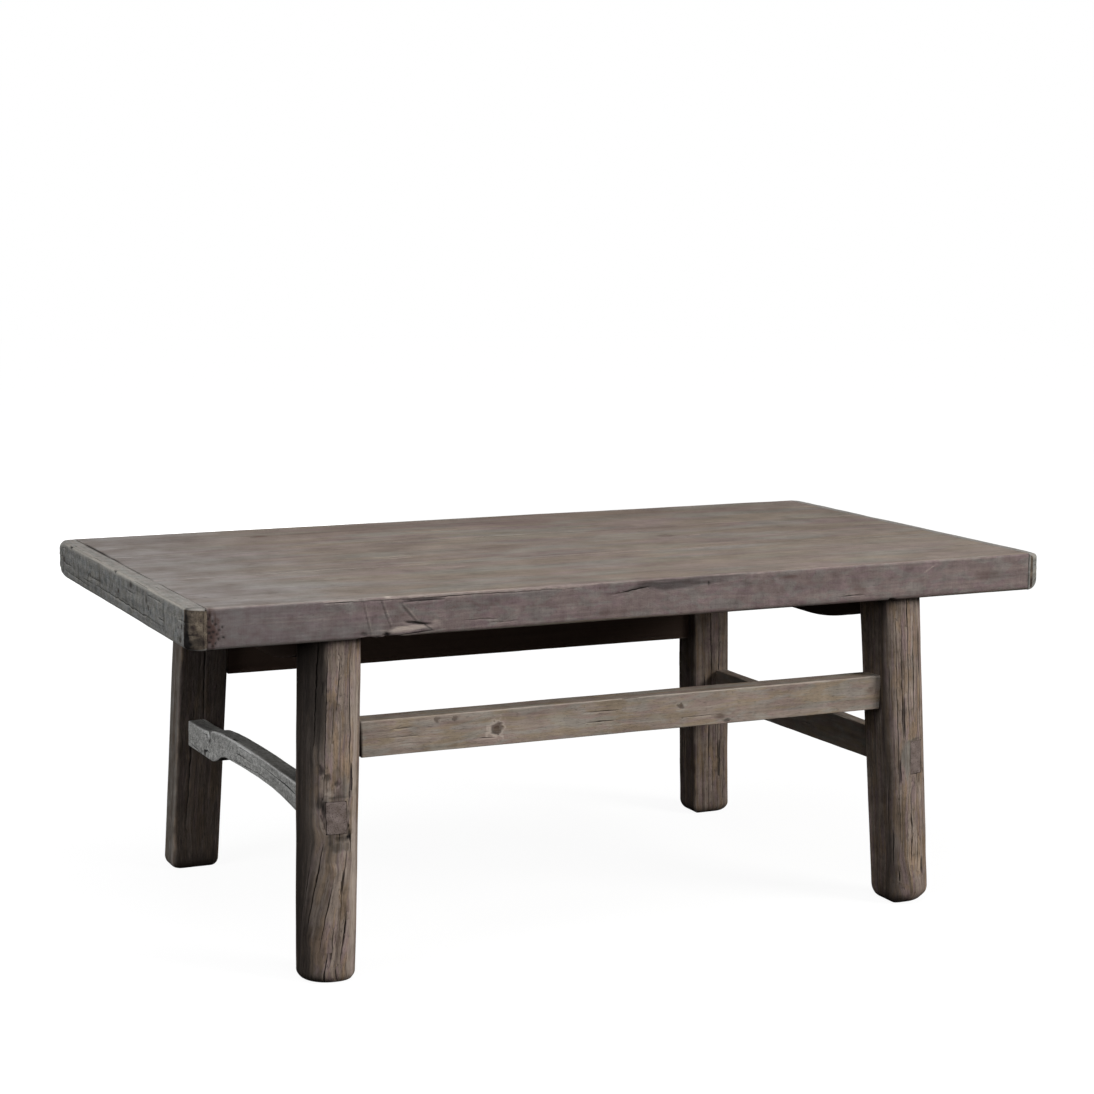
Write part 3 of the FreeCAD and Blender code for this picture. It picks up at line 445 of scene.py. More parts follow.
@dataclass
class Outline:
    """A rounded rectangle whose size may change along a timber, walked by distance round it."""

    low_a: np.ndarray
    high_a: np.ndarray
    low_b: np.ndarray
    high_b: np.ndarray
    radii: tuple[float, float, float, float]
    row_radii: list[np.ndarray]
    first: int
    middle: int

    def lengths(self) -> np.ndarray:
        """The lengths of the eight arcs and lines at the timber's middle row, in walking order."""
        size_a = (self.high_a - self.low_a)[self.middle].item()
        size_b = (self.high_b - self.low_b)[self.middle].item()
        found = []
        for step in range(4):
            corner = (self.first + step) % 4
            here, after = self.radii[corner], self.radii[(corner + 1) % 4]
            found += [here * math.pi / 2, (size_a if corner % 2 == 0 else size_b) - here - after]
        return np.array(found)

    def bounds(self) -> np.ndarray:
        """Where each arc and line starts, and the whole outline's length."""
        return np.concatenate(([0.0], np.cumsum(self.lengths())))

    def points(self, around: np.ndarray, inset: np.ndarray) -> tuple[np.ndarray, np.ndarray, np.ndarray, np.ndarray]:
        """Finds the outline's points and outward directions.

        Args:
            around: distances round the outline, one row for each row of the timber.
            inset: how far each row's outline is drawn in.

        Returns:
            The two coordinates of each point and the two of its outward direction.
        """
        marks = self.bounds()
        around = np.mod(around, marks[-1])
        low = (self.low_a + inset, self.low_b + inset)
        high = (self.high_a - inset, self.high_b - inset)
        size = [(h - l) * 0.995 for l, h in zip(low, high)]
        drawn = [np.maximum(r - inset, 0.02) for r in self.row_radii]
        radius = []
        for corner, (across, up) in enumerate(((1, 3), (0, 2), (3, 1), (2, 0))):
            room = np.minimum(size[0] - drawn[across], size[1] - drawn[up])
            radius.append(np.clip(drawn[corner], 0.02, np.maximum(room, 0.02)))
        signs = ((-1, -1), (1, -1), (1, 1), (-1, 1))
        centre = []
        for corner, (sign_a, sign_b) in enumerate(signs):
            edge_a = low[0] if sign_a < 0 else high[0]
            edge_b = low[1] if sign_b < 0 else high[1]
            centre.append((edge_a - sign_a * radius[corner], edge_b - sign_b * radius[corner]))
        a, b = np.zeros_like(around), np.zeros_like(around)
        out_a, out_b = np.zeros_like(around), np.zeros_like(around)
        for step in range(4):
            corner, after = (self.first + step) % 4, (self.first + step + 1) % 4
            turn = math.pi + corner * math.pi / 2
            span = max(marks[2 * step + 1] - marks[2 * step], 1e-9)
            share = (around - marks[2 * step]) / span
            angle = turn + share * math.pi / 2
            on_arc = (around >= marks[2 * step]) & (around < marks[2 * step + 1])
            a = np.where(on_arc, centre[corner][0] + radius[corner] * np.cos(angle), a)
            b = np.where(on_arc, centre[corner][1] + radius[corner] * np.sin(angle), b)
            out_a = np.where(on_arc, np.cos(angle), out_a)
            out_b = np.where(on_arc, np.sin(angle), out_b)
            span = max(marks[2 * step + 2] - marks[2 * step + 1], 1e-9)
            share = (around - marks[2 * step + 1]) / span
            face = turn + math.pi / 2
            on_line = (around >= marks[2 * step + 1]) & (around < marks[2 * step + 2])
            for grid, index, trig in ((0, 0, math.cos(face)), (1, 1, math.sin(face))):
                begin = centre[corner][index] + radius[corner] * trig
                end = centre[after][index] + radius[after] * trig
                value = begin + (end - begin) * share
                if grid == 0:
                    a = np.where(on_line, value, a)
                    out_a = np.where(on_line, trig, out_a)
                else:
                    b = np.where(on_line, value, b)
                    out_b = np.where(on_line, trig, out_b)
        return a, b, out_a, out_b


@dataclass
class Skin:
    """The working surface of a timber while its checks, dents and tones are laid on."""

    around: np.ndarray
    along: np.ndarray
    push: np.ndarray
    tone: np.ndarray
    base: np.ndarray
    total: float

    def away(self, place: float) -> np.ndarray:
        """Signed distance round the outline from a place, the short way."""
        return np.mod(self.around - place + self.total / 2, self.total) - self.total / 2


@dataclass
class Timber:
    """One piece of wood: a rounded rectangle wrapped in a fine skin that follows the grain.

    Attributes:
        name: the piece's name.
        node: the CAD node that it stands for.
        slot: the name of a material slot; not used.
        axis: the way its grain runs.
        start, stop: its two ends along the grain, in mm.
        finish, ends: its two finishes.
        radii: its corner radii, in the outline's order.
        first: the corner where the skin's seam lies.
        step: the skin's spacing on each side, in mm.
        row: the skin's spacing along the grain, in mm.
        arris: how round its two ends are, in mm.
        seed: its own pattern.
        hewing: the depth of the broad waves of the hewn surface, in mm.
        ridges: the depth of the weathered grain, in mm.
        wander: how far the grain drifts across, in mm.
        small_checks: how many short drying checks it has.
        rub: how pale its long arrises are rubbed.
        side_finish: finishes of single sides.
        face_tones_and_shade: for a side, how much stain and how much grey it carries; on faces in shade under the table
            the stain is painted shade.
        sweep: how far the grain has turned round the timber, by place along it.
        sweep_round: where round the timber it turns, and how wide that is.
    """

    name: str
    node: str
    slot: str
    axis: Axis
    start: float
    stop: float
    finish: OldWood
    ends: EndGrain = END_GRAIN
    radii: tuple[float, float, float, float] = (1.5, 1.5, 1.5, 1.5)
    first: int = 0
    step: dict[Side, float] = field(default_factory=dict)
    row: float = 4.0
    arris: tuple[float, float] = (0.6, 0.6)
    seed: int = 1
    hewing: float = 0.5
    ridges: float = 0.15
    wander: float = 2.0
    small_checks: int = 20
    rub: float = 0.5
    side_finish: dict[Side, OldWood] = field(default_factory=dict)
    face_tones_and_shade: tuple[tuple[Side, float, float], ...] = ()
    sweep: tuple[tuple[float, float], ...] = ()
    sweep_round: tuple[float, float] = (0.0, 45.0)
    checks: list[Check] = field(default_factory=list)
    marks: list[Mark] = field(default_factory=list)
    knots: list[Knot] = field(default_factory=list)

    def limits(self, along: np.ndarray) -> tuple[np.ndarray, np.ndarray, np.ndarray, np.ndarray]:
        """The low and high sides of the two directions across, for each place along the grain."""
        raise NotImplementedError

    def trim(self, places: np.ndarray) -> np.ndarray:
        """Last change to the finished points, in mm, for a piece that is cut to fit another."""
        return places

    def corner_radii(self, along: np.ndarray) -> list[np.ndarray]:
        """The four corner radii at each place along the grain."""
        return [radius * np.ones_like(along) for radius in self.radii]

    def kinds(self, along: np.ndarray, sides: list[Side]) -> np.ndarray:
        """Says which finish each face of the skin takes.

        Args:
            along: the rows' places along the grain.
            sides: the side that each strip of faces lies on.

        Returns:
            For each face 0 for the wood, 1 for end grain, or 2 and on for the finishes of single sides.
        """
        found = np.zeros((len(along) - 1, len(sides)), np.int32)
        for number, side in enumerate(self.side_finish):
            found[:, [where is side for where in sides]] = 2 + number
        found[: self.cap_rows[0]] = 1
        found[len(along) - 1 - self.cap_rows[1]:] = 1
        return found

    def rows(self) -> tuple[np.ndarray, np.ndarray]:
        """Places the rows: a cap, a rounded arris, the length, and the same again at the other end.

        Returns:
            Each row's place along the grain, and how far its outline is drawn in.
        """
        ends, self.cap_rows = [], []
        for side, radius in enumerate(self.arris):
            low_a, high_a, low_b, high_b = self.limits(np.array([self.start if side == 0 else self.stop]))
            half = float(np.minimum(high_a - low_a, high_b - low_b).item()) / 2
            cap = np.arange(max(half * 0.6, radius * 1.05), radius, -max(self.row * 0.7, 1.5))
            turns = np.radians(np.linspace(0, 90, max(2, int(radius / 1.6) + 2)))
            inset = np.concatenate((cap, radius * (1 - np.sin(turns))))
            reach = np.concatenate((np.zeros(len(cap)), radius * (1 - np.cos(turns))))
            ends.append((reach, inset))
            self.cap_rows.append(len(cap) + len(turns) // 4)
        first, last = self.start + self.arris[0], self.stop - self.arris[1]
        count = max(2, round((last - first) / self.row))
        body = np.linspace(first, last, count + 1)[1:-1]
        along = np.concatenate((self.start + ends[0][0], body, (self.stop - ends[1][0])[::-1]))
        inset = np.concatenate((ends[0][1], np.zeros(len(body)), ends[1][1][::-1]))
        return along, inset

    def columns(self, outline: Outline) -> np.ndarray:
        """Spaces the skin's columns round the outline, finer where a side's step says so."""
        found = [0.0]
        order = SIDE_ORDER[self.axis]
        for index, length in enumerate(outline.lengths()):
            side = order[(self.first + index // 2) % 4]
            step = self.step.get(side, 6.0)
            if index % 2 == 0:
                before = order[(self.first + index // 2 + 3) % 4]
                step = min(step, self.step.get(before, 6.0), max(length / 3, 0.3))
            count = max(1, round(length / step))
            found += list(found[-1] + length * np.arange(1, count + 1) / count)
        return np.array(found)

    def sides_of(self, outline: Outline, columns: np.ndarray) -> list[Side]:
        """The side that each strip between two columns lies on; an arris belongs half to each."""
        marks, order = outline.bounds(), SIDE_ORDER[self.axis]
        found = []
        for middle in (columns[:-1] + columns[1:]) / 2:
            index = int(np.clip(np.searchsorted(marks, middle, side="right") - 1, 0, 7))
            before = index % 2 == 0 and middle < (marks[index] + marks[index + 1]) / 2
            found.append(order[(self.first + index // 2 - before) % 4])
        return found

    def tint_and_shade_sides(self, skin: Skin, outline: Outline) -> None:
        """Lays each side's own stain and grey on it, with a soft uneven border; on faces in shade under the table this
        stain is painted shade.
        """
        marks, order = outline.bounds(), SIDE_ORDER[self.axis]
        for side, stain, grey in self.face_tones_and_shade:
            step = (order.index(side) - self.first) % 4
            low = (marks[2 * step] + marks[2 * step + 1]) / 2
            high = marks[2 * step + 2] + (marks[(2 * step + 3) % 8] - marks[(2 * step + 2) % 8]) / 2
            ragged = 1.2 * soft_noise(self.seed + 61, skin.base, skin.along, (4.0, 12.0), skin.total)
            gap = np.abs(skin.away((low + high) / 2)) - (high - low) / 2 + ragged
            cover = 1 / (1 + np.exp(np.clip(gap / 0.8, -30, 30)))
            # Channel 3 takes real stain and, on shaded faces, painted shade.
            skin.tone[..., 3] += stain * cover
            skin.tone[..., 2] += grey * cover

    def place_on(self, outline: Outline, side: Side | None, place: float) -> float:
        """Turns a place across a side into a distance round the outline.

        Args:
            outline: the timber's outline.
            side: the side, or None where place is measured round from the bark corner.
            place: the coordinate on that side, or the distance from the bark corner.

        Returns:
            The distance round the outline, in mm.
        """
        marks = outline.bounds()
        if side is None:
            return float(marks[4] + (marks[5] - marks[4]) / 2 + place)
        corner = SIDE_ORDER[self.axis].index(side)
        step = (corner - self.first) % 4
        lows = (outline.low_a, outline.low_b)
        highs = (outline.high_a, outline.high_b)
        index = corner % 2
        rising = corner in (0, 1)
        middle = outline.middle
        begin = (lows if rising else highs)[index][middle].item()
        passed = (place - begin) if rising else (begin - place)
        here, after = outline.radii[corner], outline.radii[(corner + 1) % 4]
        span = marks[2 * step + 2] - marks[2 * step + 1]
        if passed < here:
            return float(marks[2 * step + 1] - here * math.asin(min(1.0, (here - passed) / max(here, 1e-6))))
        if passed > here + span:
            return float(marks[2 * step + 2]
                         + after * math.asin(min(1.0, (passed - here - span) / max(after, 1e-6))))
        return float(marks[2 * step + 1] + passed - here)

    def drift(self, skin: Skin, outline: Outline) -> None:
        """Lets the columns wander with the grain and bulge round the knots, but not over the arrises."""
        marks = outline.bounds()
        free = np.ones_like(skin.base)
        for step in range(4):
            for mark in (marks[2 * step], marks[2 * step + 1]):
                if outline.radii[(self.first + step) % 4] < 4.5:
                    gap = np.abs(np.mod(skin.base - mark + skin.total / 2, skin.total) - skin.total / 2)
                    free = np.minimum(free, np.clip(gap / 12.0, 0, 1))
        sway = soft_noise(self.seed, skin.base, skin.along, (60.0, 230.0), skin.total)
        sway += 0.4 * soft_noise(self.seed + 1, skin.base, skin.along, (26.0, 90.0), skin.total)
        skin.around = skin.base + self.wander * sway * free
        if self.sweep:
            places, turns = zip(*self.sweep)
            turn = np.mean([np.interp(skin.along + shift, places, turns) for shift in range(-24, 25, 6)], axis=0)
            middle = self.place_on(outline, None, self.sweep_round[0])
            skin.around = skin.around + turn * np.exp(-(skin.away(middle) / self.sweep_round[1]) ** 2)
        for knot in self.knots:
            centre = self.place_on(outline, knot.side, knot.place)
            gap = skin.away(centre)
            reach = knot.radius * 2.4
            swell = np.exp(-((skin.along - knot.along) / reach) ** 2) * np.exp(-np.abs(gap) / reach)
            skin.around = skin.around + np.sign(gap) * knot.radius * 0.3 * swell * free
            gap = skin.away(centre)
            ring = np.hypot(gap, (skin.along - knot.along) * 0.85) / knot.radius
            ring = ring * (1 + 0.4 * soft_noise(self.seed + 90, skin.base, skin.along, (2.6, 3.2), skin.total))
            core = np.clip(1.25 - ring, 0, 1)
            skin.tone[..., 3] += knot.stain * np.clip(core * 1.6, 0, 1)
            skin.tone[..., 0] += 0.8 * knot.stain * np.exp(-((ring - 0.95) / 0.2) ** 2)
            skin.tone[..., 1] += knot.halo * np.exp(-((ring - 1.6) / 0.32) ** 2)
            skin.push -= 0.5 * np.exp(-((ring - 1.0) / 0.2) ** 2)

    def open_check(self, skin: Skin, place: float, check: Check) -> None:
        """Pulls three columns together into a crack and presses the middle one in.

        Args:
            skin: the working surface.
            place: the check's distance round the outline at its start.
            check: its size and run.
        """
        rows = skin.along[:, 0]
        length = check.stop - check.start
        share = (rows - check.start) / length
        path = place + check.slant * np.clip(share, -0.1, 1.1)
        path += check.waver * soft_noise(int(place * 7) % 9973, rows * 0, rows, (10.0, 14.0))
        path += check.waver * 0.5 * soft_noise(int(place * 11) % 9973, rows * 0, rows, (10.0, 5.0))
        middle = int(np.argmin(np.abs(share - 0.5)))
        gaps = np.abs(np.mod(skin.around[middle] - path[middle] + skin.total / 2, skin.total) - skin.total / 2)
        column = int(np.clip(np.argmin(gaps), 3, skin.around.shape[1] - 4))
        fade = np.clip(1 - np.maximum(check.start - rows, rows - check.stop) / 26.0, 0, 1)
        fade = fade * fade * (3 - 2 * fade)
        delta = np.mod(path - skin.around[:, column] + skin.total / 2, skin.total) - skin.total / 2
        delta = np.clip(delta, -9, 9) * fade
        index = np.arange(skin.around.shape[1])
        reach = 4.0 + 1.3 * float(np.max(np.abs(delta)))
        pull = np.exp(-((index - column) / reach) ** 2)
        pull[0] = pull[-1] = 0.0
        skin.around += delta[:, None] * pull[None, :]
        rise = np.clip(share / max(check.widest, 1e-3), 0, 1)
        fall = np.clip((1 - share) / max(1 - check.widest, 1e-3), 0, 1)
        gape = np.sqrt(np.minimum(rise, fall)) * ((share > 0) & (share < 1))
        ragged = 1 + 0.35 * soft_noise(int(place * 13) % 9973, rows * 0, rows, (10.0, 6.0))
        half = check.width * gape * ragged / 2
        open_rows = gape > 0
        centre = skin.around[:, column]
        for offset, spread in ((1, 1.0), (2, 1.9)):
            for way in (-1, 1):
                line = skin.around[:, column + way * offset]
                wanted = centre + way * (half * spread + 0.12 * offset)
                inside = np.abs(line - centre) > np.abs(wanted - centre)
                skin.around[:, column + way * offset] = np.where(open_rows & inside, wanted, line)
        skin.push[:, column] -= check.depth * gape * ragged
        skin.tone[:, column, 0] += np.clip(gape * 1.6, 0, 1)
        for way in (-1, 1):
            skin.push[:, column + way] -= 0.25 * check.depth * gape * ragged
            skin.tone[:, column + way, 0] += np.clip(gape * 0.8, 0, 0.5)
            skin.tone[:, column + 2 * way, 1] += 0.35 * gape

    def lay_mark(self, skin: Skin, place: float, mark: Mark) -> None:
        """Lays one dent, stain or worn patch on the working surface."""
        down = skin.along - mark.along
        gap = skin.away(place) - mark.lean * down
        size = (gap / mark.reach[0]) ** 2 + (down / mark.reach[1]) ** 2
        if mark.ragged:
            cell = (max(1.5, mark.reach[0] * 0.5), max(1.5, mark.reach[1] * 0.35))
            stray = soft_noise(int(abs(place) * 17 + abs(mark.along) * 3) % 9973, skin.around, skin.along, cell)
            size = size * np.clip(1 + mark.ragged * (stray + 0.5), 0.2, 3.0) ** 2
        cover = np.exp(-size) if mark.edge <= 1 else 1 / (1 + size ** mark.edge)
        skin.push -= mark.depth * cover
        for channel, share in enumerate((mark.crevice, mark.wear, mark.grey, mark.stain)):
            if share:
                skin.tone[..., channel] += share * cover

    def weather(self, skin: Skin) -> None:
        """Adds the hewn waves, the eroded grain and the dirt that lies in its valleys."""
        hew = soft_noise(self.seed + 2, skin.around, skin.along, (24.0, 95.0), skin.total)
        hew += 0.5 * soft_noise(self.seed + 3, skin.around, skin.along, (9.0, 34.0), skin.total)
        ridge = soft_noise(self.seed + 4, skin.base, skin.along, (2.4, 120.0), skin.total)
        ridge += 0.6 * soft_noise(self.seed + 5, skin.base, skin.along, (5.5, 260.0), skin.total)
        skin.push -= self.hewing * np.clip(0.5 + 0.5 * hew, 0, 1.2)
        skin.push -= self.ridges * np.clip(0.5 + 0.5 * ridge, 0, 1.2)
        skin.tone[..., 0] += (0.16 + 0.18 * self.ridges) * np.clip(ridge - 0.15, 0, 1)
        skin.tone[..., 1] += (0.22 + 0.12 * self.ridges) * np.clip(-ridge - 0.2, 0, 1)

    def scatter(self, skin: Skin) -> None:
        """Opens the timber's many short drying checks, each along its own column."""
        rng = np.random.default_rng(self.seed + 77)
        low, high = float(skin.along.min()), float(skin.along.max())
        for _ in range(self.small_checks):
            column = int(rng.integers(4, skin.around.shape[1] - 4))
            length = float(rng.uniform(14, 70))
            begin = float(rng.uniform(low, high - length * 0.5))
            width, depth = float(rng.uniform(0.3, 0.8)), float(rng.uniform(0.5, 1.6))
            place, after = np.interp((begin, begin + length), skin.along[:, 0], skin.around[:, column])
            self.open_check(skin, float(place), Check(None, 0, begin, begin + length, width, depth,
                                                      slant=float(after - place), waver=0.2))

    def wear_arrises(self, skin: Skin, outline: Outline) -> None:
        """Rubs the long corners paler."""
        marks = outline.bounds()
        for step in range(4):
            if outline.radii[(self.first + step) % 4] < 1.0:
                continue
            middle = (marks[2 * step] + marks[2 * step + 1]) / 2
            reach = max(1.6, outline.radii[(self.first + step) % 4] * 0.55)
            rub = np.exp(-(skin.away(middle) / reach) ** 2)
            patchy = 0.5 + 0.5 * soft_noise(self.seed + 9 + step, skin.base, skin.along, (40.0, 30.0), skin.total)
            skin.tone[..., 1] += self.rub * rub * patchy

    def extra(self, skin: Skin, outline: Outline) -> None:
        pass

    def skin_mesh(self) -> tuple[bpy.types.Mesh, Skin]:
        """Wraps a fine grid round the timber.

        Returns:
            The mesh, still open along its seam, and the working surface that it was made from.
        """
        along, inset = self.rows()
        low_a, high_a, low_b, high_b = (part[:, None] for part in self.limits(along))
        row_radii = [radius[:, None] for radius in self.corner_radii(along)]
        outline = Outline(low_a, high_a, low_b, high_b, self.radii, row_radii, self.first, len(along) // 2)
        columns = self.columns(outline)
        base, rows = np.meshgrid(columns, along)
        skin = Skin(base.copy(), rows, np.zeros_like(base), np.zeros((*base.shape, 4)), base,
                    float(outline.bounds()[-1]))
        self.drift(skin, outline)
        self.weather(skin)
        self.wear_arrises(skin, outline)
        self.tint_and_shade_sides(skin, outline)
        self.extra(skin, outline)
        for mark in self.marks:
            self.lay_mark(skin, self.place_on(outline, mark.side, mark.place), mark)
        self.scatter(skin)
        for check in self.checks:
            self.open_check(skin, self.place_on(outline, check.side, check.place), check)
        skin.tone[..., 1] *= 1 - 0.85 * np.clip(skin.tone[..., 3] + skin.tone[..., 0], 0, 1)
        skin.push[:, -1] = skin.push[:, 0]
        skin.around[:, -1] = skin.around[:, 0] + skin.total
        skin.push *= np.clip(1 - inset / 6.0, 0, 1)[:, None]
        a, b, out_a, out_b = outline.points(skin.around, inset[:, None])
        a, b = a + out_a * skin.push, b + out_b * skin.push
        order = {Axis.LENGTH: (rows, a, b), Axis.DEPTH: (a, rows, b), Axis.HEIGHT: (a, b, rows)}[self.axis]
        places = self.trim(np.stack(order, axis=-1)) * MM

        sheet = bmesh.new()
        sheet.loops.layers.uv.new("grain")
        bmesh.ops.create_grid(sheet, x_segments=len(columns) - 1, y_segments=len(along) - 1, size=0.5, calc_uvs=True)
        mesh = bpy.data.meshes.new(self.name)
        sheet.to_mesh(mesh)
        sheet.free()
        mesh.vertices.foreach_set("co", places.reshape(-1).astype(np.float32))
        grain = mesh.uv_layers["grain"]
        spots = np.zeros(len(mesh.loops) * 2, np.float32)
        grain.data.foreach_get("uv", spots)
        spots = spots.reshape(-1, 2)
        spots[:, 0] = np.interp(spots[:, 0] * (len(columns) - 1), np.arange(len(columns)), columns) * MM
        spots[:, 1] = np.interp(spots[:, 1] * (len(along) - 1), np.arange(len(along)),
                                along + self.seed * 613.0) * MM
        grain.data.foreach_set("uv", spots.reshape(-1))
        tone = mesh.color_attributes.new(name="tone", type="FLOAT_COLOR", domain="POINT")
        tone.data.foreach_set("color", np.clip(skin.tone, 0, 1).reshape(-1).astype(np.float32))
        kinds = self.kinds(along, self.sides_of(outline, columns))
        mesh.polygons.foreach_set("material_index", kinds.reshape(-1))
        return mesh, skin

    def finish_mesh(self, shape: bmesh.types.BMesh) -> None:
        """Joinery cut into the closed skin, for a piece that has some."""

    def build(self) -> bpy.types.Object:
        """Makes the piece, closes it, dresses it and hands it to the frame.

        Returns:
            The finished object.
        """
        mesh, _ = self.skin_mesh()
        shape = bmesh.new()
        shape.from_mesh(mesh)
        bmesh.ops.remove_doubles(shape, verts=shape.verts[:], dist=2e-6)
        bmesh.ops.dissolve_degenerate(shape, edges=shape.edges[:], dist=1e-6)
        rims = [edge for edge in shape.edges if edge.is_boundary]
        for face in bmesh.ops.holes_fill(shape, edges=rims, sides=0)["faces"]:
            face.material_index = 1
        bmesh.ops.recalc_face_normals(shape, faces=shape.faces[:])
        self.finish_mesh(shape)
        for face in shape.faces:
            face.smooth = True
        shape.to_mesh(mesh)
        shape.free()
        mesh.set_sharp_from_angle(angle=math.radians(55))
        mesh.materials.append(self.finish.material())
        mesh.materials.append(self.ends.material())
        for finish in self.side_finish.values():
            mesh.materials.append(finish.material())
        piece = bpy.data.objects.new(self.name, mesh)
        bpy.context.scene.collection.objects.link(piece)
        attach(piece, "root")
        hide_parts(self.node)
        log.info("%s: %d faces", self.name, len(mesh.polygons))
        return piece


def cube_between(shape: bmesh.types.BMesh, low: tuple[float, float, float], high: tuple[float, float, float]) -> None:
    """Adds a plain hidden tenon to a piece's mesh, between two corners in mm."""
    size = [(h - l) * MM for l, h in zip(low, high)]
    middle = Vector([(h + l) / 2 * MM for l, h in zip(low, high)])
    made = bmesh.ops.create_cube(shape, size=1.0, matrix=Matrix.Translation(middle) @ Matrix.Diagonal((*size, 1.0)))
    for face in {face for vert in made["verts"] for face in vert.link_faces}:
        face.material_index = 1


@dataclass
class Plank(Timber):
    """A plank of the top, with its grain along the table."""

    low_y: float = 0.0
    high_y: float = 0.0
    cool_end: float = 0.85

    def limits(self, along: np.ndarray) -> tuple[np.ndarray, np.ndarray, np.ndarray, np.ndarray]:
        """The plank's two long edges, its underside and its upper face."""
        same = np.ones_like(along)
        return self.low_y * same, self.high_y * same, TOP_UNDERSIDE * same, TABLE_HEIGHT * same

    def extra(self, skin: Skin, outline: Outline) -> None:
        """The left end of the top has dried out cooler and greyer than the rest."""
        wave = 60 * soft_noise(self.seed + 31, skin.around, skin.along, (18.0, 200.0), skin.total)
        cool = 1 / (1 + np.exp((skin.along + 420 + wave) / 45))
        skin.tone[..., 2] += self.cool_end * cool


@dataclass
class EndStrip(Timber):
    """The narrow strip across one end of the top, with the table's corners rounded on it.

    Attributes:
        outer, inner: the places of its outer and inner faces, in mm.
        corners: how round the table's corners are at its front and its back end, in mm.
        wormed: how far in from the front its outer face is eaten down to brown end grain, in mm.
        worn: for a long corner, how round it has become at the front and at the back end, in mm.
    """

    outer: float = 0.0
    inner: float = 0.0
    corners: tuple[float, float] = (20.0, 6.0)
    wormed: float = 0.0
    worn: tuple[tuple[int, float, float], ...] = ()

    def limits(self, along: np.ndarray) -> tuple[np.ndarray, np.ndarray, np.ndarray, np.ndarray]:
        """The strip's sides: its outer one draws in round the table's two corners."""
        corner = np.where(along < 0, *self.corners)
        gap = np.clip(corner - (HALF_WIDTH - np.abs(along)), 0, corner)
        drawn = corner - np.sqrt(corner ** 2 - gap ** 2)
        same = np.ones_like(along)
        if self.outer < 0:
            return self.outer + drawn, self.inner * same, TOP_UNDERSIDE * same, TABLE_HEIGHT * same
        return self.inner * same, self.outer - drawn, TOP_UNDERSIDE * same, TABLE_HEIGHT * same

    def corner_radii(self, along: np.ndarray) -> list[np.ndarray]:
        """The four corner radii: some long corners are worn rounder near the table's corners."""
        found = super().corner_radii(along)
        for corner, front, back in self.worn:
            for radius, end in ((front, -HALF_WIDTH), (back, HALF_WIDTH)):
                found[corner] = found[corner] + (radius - self.radii[corner]) * np.exp(-((along - end) / 18.0) ** 2)
        return found

    def kinds(self, along: np.ndarray, sides: list[Side]) -> np.ndarray:
        """Adds the wormed corner to the finishes of the skin's faces."""
        found = super().kinds(along, sides)
        outer = [side in self.side_finish for side in sides]
        found[np.ix_(along[1:] < self.wormed - HALF_WIDTH, outer)] = 1
        return found


@dataclass
class PegRow:
    """The five pegs that hold one end strip, split from darker wood and driven in below its face."""

    name: str
    outward: int
    count: int = 5
    edge_inset: float = 30.0
    head: float = 7.0
    tip: float = 6.0
    length: float = 44.0
    set_in: float = 1.5
    height: float = 453.25

    def places(self) -> list[float]:
        """Where the pegs stand along the strip, in mm."""
        reach = HALF_WIDTH - self.edge_inset
        return [float(place) for place in np.linspace(-reach, reach, self.count)]

    def build(self) -> bpy.types.Object:
        """Turns, facets and places the pegs.

        Returns:
            The finished object.
        """
        shape = bmesh.new()
        rng = np.random.default_rng(5)
        for place in self.places():
            middle = self.outward * (HALF_LENGTH - self.set_in - self.length / 2)
            turn = Matrix.Rotation(self.outward * math.pi / 2, 4, "Y")
            spin = Matrix.Rotation(float(rng.uniform(0, 3)), 4, "Z")
            put = Matrix.Translation(Vector((middle, place, self.height)) * MM) @ turn @ spin
            made = bmesh.ops.create_cone(
                shape, cap_ends=True, cap_tris=False, segments=14, radius1=self.tip / 2 * MM,
                radius2=self.head / 2 * MM, depth=self.length * MM, matrix=put)
            rims = {edge for vert in made["verts"] for edge in vert.link_edges
                    if all(abs(v.co.x) > (HALF_LENGTH - self.set_in - 0.1) * MM for v in edge.verts)}
            bmesh.ops.bevel(shape, geom=list(rims), offset=0.5 * MM, offset_type="OFFSET", segments=2,
                            profile=0.5, affect="EDGES", material=-1)
        heads = [f for f in shape.faces if abs(f.calc_center_median().x) > (HALF_LENGTH - self.set_in - 0.05) * MM]
        bmesh.ops.poke(shape, faces=heads, offset=0.15 * MM)
        bmesh.ops.recalc_face_normals(shape, faces=shape.faces[:])
        mesh = bpy.data.meshes.new(self.name)
        shape.to_mesh(mesh)
        shape.free()
        mesh.materials.append(PEG_GRAIN.material())
        piece = bpy.data.objects.new(self.name, mesh)
        bpy.context.scene.collection.objects.link(piece)
        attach(piece, "root")
        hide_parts(f"end_strip_{self.name}")
        log.info("%s: %d pegs", self.name, self.count)
        return piece


